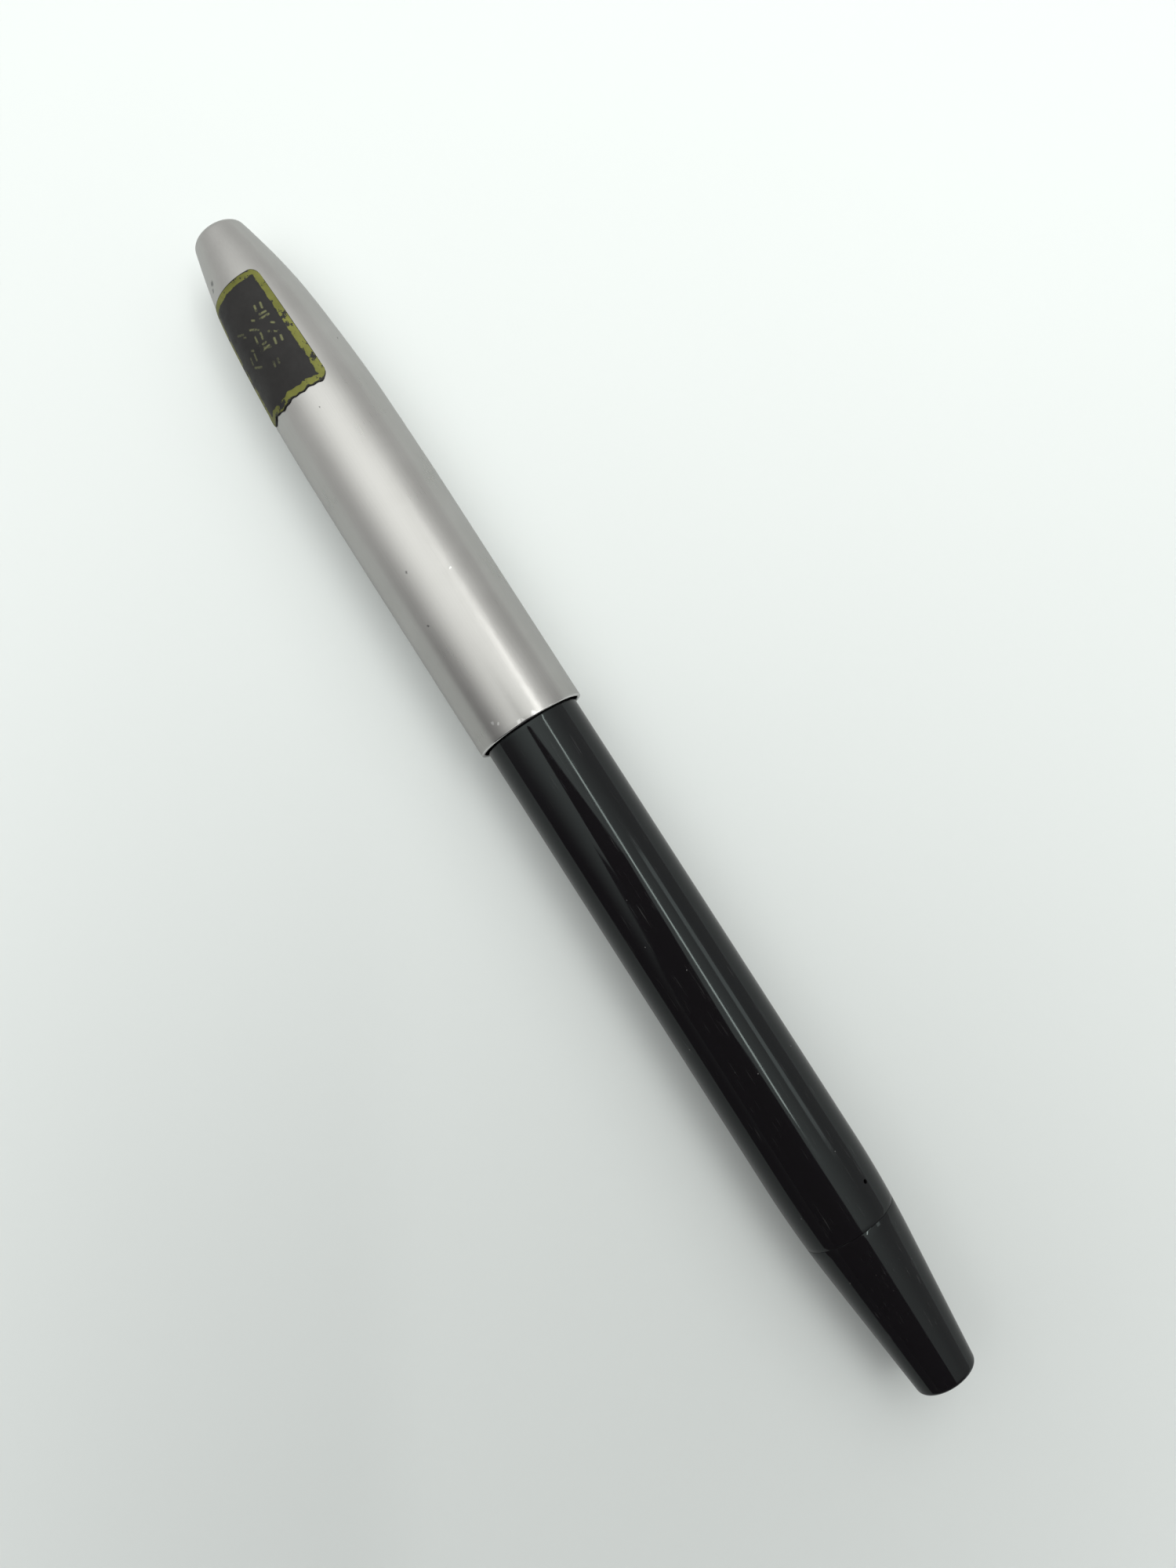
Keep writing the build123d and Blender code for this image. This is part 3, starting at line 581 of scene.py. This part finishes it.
# ------------------------------------------------------------------ the cap
def make_cap():
    """The drawn steel cap: rounded crown, long taper, rolled lip and the slot for the clip."""
    edge, lip_run, inner_round = 0.13 * MM, 0.6 * MM, 0.3 * MM
    inner_crown_x = crown_x - crown_wall
    taper_x = crown_x - 0.9 * MM
    corners = [(crown_x, 0), (crown_x, crown_r, crown_round)]
    corners += along(taper_x, lip_x + lip_run, cap_radius, 0.5 * MM)
    corners += [(lip_x, lip_r, edge), (lip_x, lip_r - cap_wall, edge)]
    corners += along(lip_x + lip_run, inner_crown_x - 0.5 * MM, lambda x: cap_radius(x) - cap_wall)
    corners += [(inner_crown_x, cap_radius(inner_crown_x) - cap_wall, inner_round), (inner_crown_x, 0)]
    cap = lathe("cap_body", refined(rounded(corners, steps=8)), segments=192)
    out, across = clip_axes()
    slot_low = (57.95 * MM, -1.0 * MM, 3.0 * MM)
    slot_high = (59.65 * MM, 1.0 * MM, 6.5 * MM)
    cutter = box_between("slot_cutter", slot_low, slot_high, (Vector((1, 0, 0)), across, out))
    cut(cap, cutter)
    cap.data.materials.append(cap_steel)
    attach(cap, "cap")
    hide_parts("cap_shell")


def make_liner():
    """The moulded inner cap, with a rounded mouth and a tapered, closed end."""
    mouth_x, end_x = liner_low[0], liner_high[0]
    bore_r, end_r, taper_x, floor = 4.22 * MM, 3.5 * MM, 51.0 * MM, 0.8 * MM
    gap, end_run = cap_wall + 0.05 * MM, 0.7 * MM
    corners = [(end_x, 0), (end_x, cap_radius(end_x) - gap, 0.3 * MM)]
    corners += along(end_x - end_run, mouth_x + end_run, lambda x: cap_radius(x) - gap)
    corners += [(mouth_x, cap_radius(mouth_x) - gap, 0.2 * MM), (mouth_x, bore_r, 0.3 * MM)]
    corners += [(taper_x, bore_r), (end_x - floor, end_r, 0.4 * MM), (end_x - floor, 0)]
    liner = lathe("inner_liner", refined(rounded(corners)), segments=96)
    liner.data.materials.append(liner_plastic)
    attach(liner, "cap")
    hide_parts("inner_cap")


def torn(t):
    """How far the torn end of the label is worn back, in metres, across its width from 0 to 1."""
    wave = 0.16 * math.sin(9 * t + 0.6) + 0.09 * math.sin(23 * t + 2.1) + 0.05 * math.sin(57 * t)
    notch = 0.34 * math.exp(-(((t - 0.42) / 0.09) ** 2))
    slant = 0.55 * (1 - t)
    corner = 0.25 * max(0, t - 0.72) / 0.28
    return (wave + notch - slant - corner) * MM


# What is left of rubbed printing. It holds no letters or figures, only separate strokes in rows. A row is
# (share across, start and step in mm from the crown end, cell width, cell height, strength, marks), and a
# mark is a set of straight strokes in a unit cell.
print_marks = {
    "pair": (((0.1, 0.0), (0.2, 1.0)), ((0.8, 0.1), (0.9, 0.8))),
    "slant": (((0.0, 0.1), (0.9, 0.9)),),
    "rungs": (((0.0, 0.2), (0.9, 0.1)), ((0.1, 0.9), (1.0, 0.8))),
    "fleck": (((0.0, 0.0), (0.25, 0.2)),),
}
print_rows = (
    (0.245, 8.6, -1.02, 0.62, 1.0, 1.0, ("rungs", "slant", "fleck", "pair", "rungs")),
    (0.43, 8.3, -1.05, 0.68, 1.05, 0.85, ("pair", "rungs", "slant", "fleck")),
    (0.40, 8.5, 1.9, 0.5, 0.8, 0.45, ("slant", "rungs")),
    (0.64, 5.3, 0.45, 0.5, 1.0, 0.5, ("slant", "fleck")),
    (0.64, 7.4, 0.95, 0.7, 1.1, 0.55, ("fleck", "rungs", "slant")),
)


def print_segments():
    """The strokes of the worn print as rows of (x, arc, x, arc, strength) in mm."""
    segments = []
    for share, start, step, wide, tall, strength, marks in print_rows:
        for i, mark in enumerate(marks):
            x = label_end / MM - start - i * step
            arc = (share - 0.5) * label_arc_mm - tall / 2
            for stroke in print_marks[mark]:
                (ax, ay), (bx, by) = [(x + u * wide, arc + v * tall) for u, v in stroke]
                segments.append((ax, ay, bx, by, strength))
    return np.array(segments)


label_turn = math.radians(31)
label_half_turn = math.radians(48.5)
label_start = label_low[0]
label_end = label_high[0]
label_mean_r_mm = 5.25
label_arc_mm = 2 * label_half_turn * label_mean_r_mm
stroke_reach_mm, stroke_blur_mm = 0.14, 0.07


def print_strength(spots):
    """How much print there is at each (x, arc) in mm."""
    strength = np.zeros(len(spots))
    for ax, ay, bx, by, full in print_segments():
        start, run = np.array((ax, ay)), np.array((bx - ax, by - ay))
        share = np.clip((spots - start) @ run / (run @ run), 0, 1)
        away = np.linalg.norm(spots - start - share[:, None] * run, axis=1)
        stroke = np.clip((stroke_reach_mm - away) / stroke_blur_mm, 0, 1)
        strength = np.maximum(strength, full * stroke)
    return strength


def make_label():
    """The price label: a thin sticker with rounded corners, a torn end and lifting edges."""
    long_count, wide_count = 190, 120
    corner = 1.0 * MM
    thickness, lift = 0.09 * MM, 0.012 * MM
    curl_height, curl_run = 0.07 * MM, 0.45 * MM
    rim_run, rim_share = 0.05 * MM, 0.35
    top, bottom, edge_mm, spots = [], [], [], []
    for j in range(wide_count + 1):
        t = j / wide_count
        arc = (t - 0.5) * label_arc_mm * MM
        side = label_arc_mm * MM / 2 - abs(arc)
        inset = 0
        if side < corner:
            inset = corner - math.sqrt(max(0, corner**2 - (corner - side) ** 2))
        low_x = label_start + inset + torn(t)
        high_x = label_end - inset
        for i in range(long_count + 1):
            x = low_x + (high_x - low_x) * i / long_count
            turn = label_turn + (t - 0.5) * 2 * label_half_turn
            near = min(side + inset, x - low_x, high_x - x)
            lifting = 0.4 + 0.6 * math.sin(7 * t) ** 2
            curl = curl_height * math.exp(-((x - low_x) / curl_run) ** 2) * lifting
            r = cap_radius(x) + lift + curl
            rim = min(1.0, near / rim_run + rim_share)
            top.append(place(x, r + thickness * rim, turn))
            bottom.append(place(x, r, turn))
            edge_mm.append(near / MM)
            spots.append((x / MM, arc / MM))
    count = len(top)
    row = long_count + 1
    faces = []
    for j in range(wide_count):
        for i in range(long_count):
            a = j * row + i
            quad = (a, a + 1, a + row + 1, a + row)
            faces.append(quad)
            faces.append(tuple(count + k for k in reversed(quad)))
    rim_loop = list(range(row))
    rim_loop += [j * row + long_count for j in range(1, wide_count + 1)]
    rim_loop += [wide_count * row + i for i in range(long_count - 1, -1, -1)]
    rim_loop += [j * row for j in range(wide_count - 1, 0, -1)]
    for a, b in zip(rim_loop, rim_loop[1:] + rim_loop[:1]):
        faces.append((b, a, count + a, count + b))
    mesh = bpy.data.meshes.new("worn_label")
    mesh.from_pydata([tuple(v) for v in top + bottom], [], faces)
    ink = print_strength(np.array(spots)).tolist()
    for attribute, values in (("edge_mm", edge_mm), ("ink", ink)):
        layer = mesh.attributes.new(attribute, "FLOAT", "POINT")
        layer.data.foreach_set("value", values * 2)
    label = bpy.data.objects.new("worn_label", mesh)
    bpy.context.collection.objects.link(label)
    mesh.shade_smooth()
    mesh.set_sharp_from_angle(angle=math.radians(50))
    mesh.materials.append(label_print())
    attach(label, "cap")
    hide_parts("price_label")


# Pairs of points on the clip's outer and inner faces, from the ball end to the foot inside the cap:
# (x outer, r outer, x inner, r inner, half width, crown), all in mm; crown 1 is fully rounded across
clip_stations = [
    (26.42, 6.46, 26.42, 6.34, 0.45, 0.9),
    (26.52, 6.82, 26.66, 6.05, 0.90, 1.0),
    (27.05, 7.12, 27.30, 5.93, 1.15, 1.0),
    (28.30, 7.22, 28.50, 6.14, 1.21, 1.0),
    (30.00, 7.19, 30.40, 6.53, 1.21, 1.0),
    (33.00, 7.13, 33.00, 6.54, 1.21, 1.0),
    (44.00, 6.90, 44.00, 6.28, 1.21, 1.0),
    (54.60, 6.68, 54.60, 6.03, 1.21, 1.0),
    (56.40, 6.56, 56.00, 5.97, 1.20, 1.0),
    (57.90, 6.22, 57.20, 5.78, 1.15, 0.8),
    (58.85, 5.68, 58.15, 5.40, 0.95, 0.5),
    (59.12, 5.10, 58.45, 5.00, 0.80, 0.2),
    (59.15, 4.20, 58.45, 4.15, 0.80, 0.1),
    (59.15, 3.62, 58.50, 3.20, 0.80, 0.1),
    (59.60, 3.50, 59.30, 3.00, 0.80, 0.1),
    (62.60, 3.50, 62.60, 3.00, 0.80, 0.1),
]


def make_clip():
    """The spring clip: a crowned arm with a ball end, a bent shoulder and a tongue with a foot."""
    stations = np.array(clip_stations)
    steps = np.linalg.norm(np.diff(stations[:, :2], axis=0), axis=1)
    length = np.concatenate([[0], np.cumsum(np.sqrt(steps))])
    curves = [
        clamped_curve(list(zip(length, stations[:, k])), 0.0, 0.0) for k in range(stations.shape[1])
    ]
    half_points, ring_count = 10, 150
    edge_rise, roundness = 0.18, 0.8
    out, across = clip_axes()
    vertices, rings = [], []
    for at in np.linspace(0, length[-1], ring_count):
        outer_x, outer_r, inner_x, inner_r, wide, crown = (curve(at) for curve in curves)
        ring = []
        for k in range(half_points * 2 + 1):
            side = -math.cos(math.pi * k / (half_points * 2))
            rise = edge_rise + (1 - edge_rise) * max(0.0, 1 - crown * side**2) ** roundness
            if crown < 0.3:
                rise = 1 - 0.12 * side**4
            ring.append((side * wide, rise))
        for k in range(half_points * 2 - 1, 0, -1):
            side = -math.cos(math.pi * k / (half_points * 2))
            ring.append((side * wide * 0.97, 0.06 * abs(side) ** 6))
        rings.append(range(len(vertices), len(vertices) + len(ring)))
        for across_mm, rise in ring:
            x = (inner_x + (outer_x - inner_x) * rise) * MM
            r = (inner_r + (outer_r - inner_r) * rise) * MM
            vertices.append(Vector((x, 0, axis_z)) + out * r + across * across_mm * MM)
    faces = [tuple(rings[0]), tuple(reversed(rings[-1]))]
    for one, two in zip(rings, rings[1:]):
        for k in range(len(one)):
            j = (k + 1) % len(one)
            faces.append((one[k], one[j], two[j], two[k]))
    clip = new_piece("clip_arm", vertices, faces, 40)
    clip.data.materials.append(clip_steel)
    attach(clip, "clip")
    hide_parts("clip")


def make_leaf():
    """The clip's bent leaf spring."""
    half_thick, half_wide, bevel = 0.12 * MM, 0.68 * MM, 0.04 * MM
    low, high = 1.95 * MM, 2.85 * MM
    corners = [
        (59.65 * MM, low),
        (63.4 * MM, low, 0.15 * MM),
        (60.9 * MM, high, 0.8 * MM),
        (59.9 * MM, high),
    ]
    path = [Vector(point) for point in refined(rounded(corners), step=0.12 * MM)]
    out, across = clip_axes()
    section = [
        (half_wide, half_thick - bevel),
        (half_wide - bevel, half_thick),
        (bevel - half_wide, half_thick),
        (-half_wide, half_thick - bevel),
        (-half_wide, bevel - half_thick),
        (bevel - half_wide, -half_thick),
        (half_wide - bevel, -half_thick),
        (half_wide, bevel - half_thick),
    ]
    vertices, faces = [], []
    for i, here in enumerate(path):
        tangent = (path[min(i + 1, len(path) - 1)] - path[max(i - 1, 0)]).normalized()
        normal = Vector((-tangent[1], tangent[0]))
        for wide, thick in section:
            x, r = here + normal * thick
            vertices.append(Vector((x, 0, axis_z)) + out * r + across * wide)
    size = len(section)
    for i in range(len(path) - 1):
        for k in range(size):
            j = (k + 1) % size
            faces.append((i * size + k, i * size + j, (i + 1) * size + j, (i + 1) * size + k))
    faces.append(tuple(range(size)))
    faces.append(tuple(range(len(vertices) - 1, len(vertices) - 1 - size, -1)))
    leaf = new_piece("leaf_spring", vertices, faces, 40)
    leaf.data.materials.append(spring_steel)
    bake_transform(leaf)
    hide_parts("clip_spring")


# ------------------------------------------------------------------ barrel and blind cap
# The seam between the two is a fine groove: its half width and its depth
groove = 0.03 * MM
groove_depth = 0.012 * MM


def make_barrel():
    """The black barrel: relief under the cap, long cylinder, taper, threaded nipple and vent hole."""
    relief_x, relief_r = lip_x - 0.1 * MM, barrel_r - 0.2 * MM
    seam_side = seam_x + 0.04 * MM
    nipple_r, guide_r, bore_r, front_r = 4.02 * MM, 3.4 * MM, 3.9 * MM, 4.1 * MM
    gland_x, seal_x = -46.2 * MM, 1.5 * MM
    corners = [(shoulder_x, relief_r, 0.1 * MM), (relief_x, relief_r), (relief_x, barrel_r, 0.03 * MM)]
    corners += along(relief_x - 0.5 * MM, seam_side + groove, rear_radius)
    corners += [(seam_side, rear_radius(seam_side) - groove_depth)]
    corners += [(seam_side, nipple_r)]
    corners += along(seam_side - 0.1 * MM, nipple_end_x + 0.3 * MM, lambda x: nipple_r, fine_facet)
    corners += [(nipple_end_x, nipple_r, 0.12 * MM), (nipple_end_x, guide_r, 0.08 * MM)]
    corners += [(gland_x, guide_r), (gland_x, bore_r), (seal_x, bore_r), (seal_x, front_r)]
    corners += [(shoulder_x, front_r, 0.08 * MM)]
    shift = thread_shift(nipple_end_x + 0.2 * MM, seam_side - 0.2 * MM, -thread_depth)

    def outside_only(x, r, turn):
        return shift(x, r, turn) if r > (nipple_r + bore_r) / 2 else 0

    outline = refined(rounded(corners, closed=True), closed=True)
    barrel = lathe("barrel_body", outline, closed=True, segments=192, shift=outside_only)
    drill_start, drill_end = place(vent_x, 2.8 * MM, vent_turn), place(vent_x, 7 * MM, vent_turn)
    cut(barrel, round_bar("vent_drill", drill_start, drill_end, vent_r))
    barrel.data.materials.append(gloss)
    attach(barrel, "barrel")
    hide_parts("barrel")


def make_knob():
    """The blind cap: the end of the taper, threaded inside its skirt."""
    bore_r, cavity_r, hole_r = 4.12 * MM, 3.45 * MM, 0.76 * MM
    skirt_end, cavity_end, hole_end = -55.6 * MM, -57.75 * MM, -64.0 * MM
    corners = [(tail_x, 0), (tail_x, tail_r, tail_round)]
    corners += along(tail_x + 0.8 * MM, seam_x - groove, rear_radius)
    corners += [(seam_x, rear_radius(seam_x) - groove_depth), (seam_x, bore_r, 0.05 * MM)]
    corners += along(seam_x - 0.2 * MM, skirt_end + 0.1 * MM, lambda x: bore_r, fine_facet)
    corners += [(skirt_end, bore_r), (skirt_end, cavity_r), (cavity_end, cavity_r)]
    corners += [(cavity_end, hole_r), (hole_end, hole_r), (hole_end, 0)]
    shift = thread_shift(skirt_end + 0.2 * MM, seam_x - 0.5 * MM, thread_depth)

    def inside_only(x, r, turn):
        return shift(x, r, turn) if abs(r - bore_r) < 0.02 * MM else 0

    knob = lathe("blind_knob", refined(rounded(corners, steps=8)), segments=192, shift=inside_only)
    knob.data.materials.append(gloss)
    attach(knob, "blind_cap")
    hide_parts("blind_cap")


def make_tube():
    """The drawn plunger tube with its stop collar."""
    front, back = tube_high[0], tube_low[0]
    bore_r, tube_r, collar_r = 3.1 * MM, 3.3 * MM, 3.8 * MM
    corners = [
        (back, bore_r, 0.04 * MM),
        (back, tube_r, 0.06 * MM),
        (front - 0.9 * MM, tube_r),
        (front - 0.9 * MM, collar_r, 0.1 * MM),
        (front, collar_r, 0.1 * MM),
        (front, bore_r, 0.06 * MM),
    ]
    outline = refined(rounded(corners, closed=True), closed=True, step=1.5 * MM)
    tube = lathe("plunger_sleeve", outline, closed=True, segments=128)
    tube.data.materials.append(tube_metal)
    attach(tube, "plunger")
    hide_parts("plunger_tube")


def make_section():
    """The moulded grip, waisted and flared at the front, with its bores."""
    back, front = section_low[0], section_high[0]
    back_r, waist_r, front_r, flare_x = 4.7 * MM, 3.72 * MM, 4.05 * MM, 31.9 * MM
    socket_x, socket_r, bore_r = 21.1 * MM, 4.02 * MM, 2.38 * MM
    places = [(back, back_r), (20.0 * MM, 4.45 * MM), (28.6 * MM, waist_r), (flare_x, front_r)]
    grip = clamped_curve(places, 0.02, 0.0)
    corners = [(back, back_r, 0.1 * MM)]
    corners += along(back + 0.5 * MM, flare_x, grip, 0.4 * MM)
    corners += [(front, front_r, 0.85 * MM), (front, bore_r, 0.12 * MM)]
    corners += [(socket_x, bore_r), (socket_x, socket_r), (back, socket_r)]
    outline = refined(rounded(corners, closed=True, steps=10), closed=True)
    grip_piece = lathe("grip_section", outline, closed=True)
    grip_piece.data.materials.append(gloss)
    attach(grip_piece, "barrel")
    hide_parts("section")


def make_nib():
    """The steel nib: a tube that opens into a tapered blade with a breather hole and a slit."""
    root, tip = nib_low[0], nib_high[0]
    flare, shoulder, breather = 33.2 * MM, 36.5 * MM, 39.6 * MM
    thick, tube_r, shoulder_r, tip_r = 0.25 * MM, 2.06 * MM, 2.3 * MM, 0.45 * MM
    corners = [
        (root, tube_r, 0.04 * MM),
        (root, tube_r + thick, 0.04 * MM),
        (flare, tube_r + thick, 3 * MM),
        (shoulder, shoulder_r + thick, 6 * MM),
        (tip, tip_r + thick, 0.08 * MM),
        (tip, tip_r, 0.04 * MM),
        (shoulder, shoulder_r, 5.7 * MM),
        (flare, tube_r, 3.2 * MM),
    ]
    outline = refined(rounded(corners, closed=True, steps=10), closed=True, step=0.3 * MM)
    nib = lathe("steel_nib", outline, closed=True)
    before, after, reach = root - 1 * MM, tip + 0.1 * MM, 6 * MM
    edge = [
        (before, 0.2 * MM),
        (31.5 * MM, 0.2 * MM),
        (34 * MM, -0.75 * MM),
        (38 * MM, -0.55 * MM),
        (after, 0.25 * MM),
    ]
    below = [(after, -reach), (before, -reach)]
    vertices = [(x, y, axis_z + z) for y in (-reach, reach) for x, z in edge + below]
    count = len(edge + below)
    faces = [(k, (k + 1) % count, count + (k + 1) % count, count + k) for k in range(count)]
    faces += [tuple(range(count)), tuple(range(2 * count - 1, count - 1, -1))]
    cut(nib, new_piece("nib_underside", vertices, faces))
    middle = Vector((breather, 0, axis_z))
    breather_r, half_slit, drill_height = 0.4 * MM, 0.04 * MM, 5 * MM
    cut(nib, round_bar("nib_drill", middle, middle + Vector((0, 0, drill_height)), breather_r, 48))
    slit_low, slit_high = (breather, -half_slit, 0), (tip + 1 * MM, half_slit, drill_height)
    axes = (Vector((1, 0, 0)), Vector((0, 1, 0)), Vector((0, 0, 1)))
    cut(nib, box_between("nib_slitter", slit_low, slit_high, axes))
    nib.data.materials.append(nib_steel)
    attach(nib, "barrel")
    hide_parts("nib")


def make_band():
    """The bright clutch band with a shallow snap groove."""
    start, end = band_low[0], band_high[0]
    outer, inner = 4.9 * MM, 4.02 * MM
    snap_x, snap_half, snap_depth = 13.5 * MM, 0.4 * MM, 0.12 * MM
    corners = [
        (start, inner),
        (start, outer, 0.15 * MM),
        (snap_x - snap_half, outer, 0.1 * MM),
        (snap_x, outer - snap_depth, 0.3 * MM),
        (snap_x + snap_half, outer, 0.1 * MM),
        (end, outer, 0.2 * MM),
        (end, inner),
    ]
    band = lathe("bright_band", refined(rounded(corners, closed=True), closed=True), closed=True)
    band.data.materials.append(bright_trim)
    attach(band, "barrel")
    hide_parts("clutch_band")


make_cap()
make_liner()
make_label()
make_clip()
make_leaf()
make_barrel()
make_knob()
make_tube()
make_section()
make_nib()
make_band()

# ------------------------------------------------------------------ the CAD pieces that stay
cad_materials = {
    "crown_block": liner_plastic,
    "clutch_ring": spring_steel,
    "section_connector": brass,
    "feed": ebonite,
    "nib_point": bright_trim,
    "front_seal": rubber,
    "sac_nipple": ebonite,
    "ink_sac": rubber,
    "breather_tube": tube_metal,
    "sac_protector": tube_metal,
    "plunger_o_ring": rubber,
    "o_ring_retainer": brass,
    "tube_plug": brass,
    "thrust_washer": spring_steel,
    "blind_cap_screw": brass,
}
for name, look in cad_materials.items():
    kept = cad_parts[name]
    kept.data.materials.clear()
    kept.data.materials.append(look)


# ------------------------------------------------------------------ stage, light and camera
def stage_shape(name, corners, height, look):
    """A flat polygon that belongs to the stage."""
    mesh = bpy.data.meshes.new(name)
    mesh.from_pydata([(x, y, height) for x, y in corners], [], [tuple(range(len(corners)))])
    shape = bpy.data.objects.new(name, mesh)
    mesh.materials.append(look)
    bpy.context.collection.objects.link(shape)
    return shape


def soft_light(name, location, size, power, colour):
    """A rectangular soft light aimed at the middle of the pen."""
    data = bpy.data.lights.new(name, "AREA")
    data.shape = "RECTANGLE"
    data.size, data.size_y = size
    data.energy = power
    data.color = colour
    lamp = bpy.data.objects.new(name, data)
    lamp.location = location
    lamp.rotation_euler = (-Vector(location)).to_track_quat("-Z", "Y").to_euler()
    bpy.context.collection.objects.link(lamp)
    return lamp


# The floor's colours, and a darker one where the pen's gloss reflects it
floor_colours = ((0.785, 0.822, 0.803), (0.80, 0.838, 0.818))
mirrored_floor = (0.50, 0.515, 0.505)
half_floor, floor_height = 1.5, -0.00002


def floor_look():
    """Pale, slightly cool paper with a trace of unevenness."""
    made, tree, shader = new_material("pale_floor", floor_colours[0], 0.0, 0.6)
    cloud = surface_noise(tree, 9)
    colour = mixed(tree, ranged(tree, cloud, 0.3, 0.7), *floor_colours)
    mirrored = node(tree, "ShaderNodeLightPath").outputs["Is Glossy Ray"]
    colour = mixed(tree, mirrored, colour, mirrored_floor)
    tree.links.new(colour, shader.inputs["Base Color"])
    return made


floor = [(x * half_floor, y * half_floor) for x, y in ((-1, -1), (1, -1), (1, 1), (-1, 1))]
stage_shape("floor", floor, floor_height, floor_look())

camera_place = Vector((-0.0085, 0.00326, 0.1287))
camera_tilt, camera_turn = math.radians(4.245), math.radians(-122.6)
camera_data = bpy.data.cameras.new("camera")
camera_data.lens = 27.92
camera_data.sensor_width = 36
camera_data.clip_start = 0.005
camera = bpy.data.objects.new("camera", camera_data)
camera.location = camera_place
camera.rotation_euler = (camera_tilt, 0, camera_turn)
bpy.context.collection.objects.link(camera)
bpy.context.scene.camera = camera


# The dark hand-held camera close over the pen, and the person behind it: only reflections show them
image_right = Vector((-0.5357, -0.8444, 0))
image_down = Vector((-0.8444, 0.5357, 0))
half_device, device_top, device_bottom, device_height = 0.036, -0.022, 0.13, 0.131
device_corners = (
    (-half_device, device_top),
    (half_device, device_top),
    (half_device, device_bottom),
    (-half_device, device_bottom),
)
device = [camera_place + image_right * across + image_down * down for across, down in device_corners]
device_look, _, _ = new_material("device", (0.012, 0.011, 0.012), 0.0, 0.6)
device_card = stage_shape("device", [spot[:2] for spot in device], device_height, device_look)
device_card.visible_camera = False
person_look, _, _ = new_material("person", (0.035, 0.027, 0.036), 0.0, 0.8)
person_height = 0.4
person = (
    (0.0, 0.215),
    (-0.054, 0.349),
    (-0.101, 0.597),
    (-0.6, 0.8),
    (-0.7, -0.12),
    (-0.187, -0.075),
    (-0.11, -0.065),
    (-0.06, 0.02),
    (-0.02, 0.12),
)
person_card = stage_shape("person", person, person_height, person_look)
person_card.visible_camera = False
person_card.visible_shadow = False


def set_world():
    """A pale room: bright overhead, dimmer towards the horizon and darkest on the person's side."""
    world = bpy.data.worlds.new("room")
    bpy.context.scene.world = world
    world.use_nodes = True
    tree = world.node_tree
    backdrop = tree.nodes["Background"]
    spot = node(tree, "ShaderNodeTexCoord").outputs["Generated"]
    parts = node(tree, "ShaderNodeSeparateXYZ", {"Vector": spot}).outputs
    zenith, pale_wall, dark_wall = (1.0, 1.01, 0.99), (0.34, 0.34, 0.335), (0.05, 0.045, 0.05)
    person_x, person_y = -0.84, 0.54
    rise = maths(tree, "POWER", ranged(tree, parts["Z"], 0.3, 1.0), 2.0)
    pale_side = mixed(tree, rise, pale_wall, zenith)
    dark_side = mixed(tree, rise, dark_wall, zenith)
    towards = maths(tree, "MULTIPLY", parts["X"], person_x)
    towards = maths(tree, "ADD", towards, maths(tree, "MULTIPLY", parts["Y"], person_y))
    both = mixed(tree, ranged(tree, towards, 0.22, 0.5), pale_side, dark_side)
    tree.links.new(both, backdrop.inputs["Color"])
    tree.links.new(ranged(tree, parts["X"], 0.05, 0.3, 1.0, 1.6), backdrop.inputs["Strength"])


def strip_light(name, start, end, width, radiance, colour):
    """A long flat lamp between two points, facing the pen."""
    start, end = Vector(start), Vector(end)
    middle = (start + end) / 2
    lamp = soft_light(name, middle, ((end - start).length, width), 1.0, colour)
    lamp.data.energy = radiance * math.pi * (end - start).length * width
    along_x = (end - start).normalized()
    facing = middle.normalized()
    facing = (facing - along_x * facing.dot(along_x)).normalized()
    lamp_axes = (along_x, facing.cross(along_x), facing)
    lamp.rotation_euler = Matrix(lamp_axes).transposed().to_euler()


warm_white, cool_white, room_white = (1.0, 1.0, 0.98), (0.98, 1.0, 1.0), (0.99, 1.0, 1.0)
tube_start, tube_end, tube_width, tube_radiance = (0.26, -0.635, 1.0), (-0.30, -0.31, 1.0), 0.05, 7.0
window_start, window_end, window_width, window_radiance = (-0.02, -1.28, 1.0), (-0.5, -1.28, 1.0), 0.25, 1.1
side_place, side_size, side_watts = (0.4, -0.5, 0.75), (0.6, 0.6), 1.7
ceiling_place, ceiling_size, ceiling_watts = (-0.1, 0.1, 1.3), (1.6, 1.6), 11.4

set_world()
strip_light("tube", tube_start, tube_end, tube_width, tube_radiance, warm_white)
strip_light("window", window_start, window_end, window_width, window_radiance, cool_white)
# The two soft lights give the shading. They don't show in the pen's gloss, which the two strips give.
side = soft_light("side", side_place, side_size, side_watts, room_white)
side.visible_glossy = False
ceiling = soft_light("ceiling", ceiling_place, ceiling_size, ceiling_watts, room_white)
ceiling.visible_glossy = False
bpy.context.scene.view_settings.view_transform = "Standard"
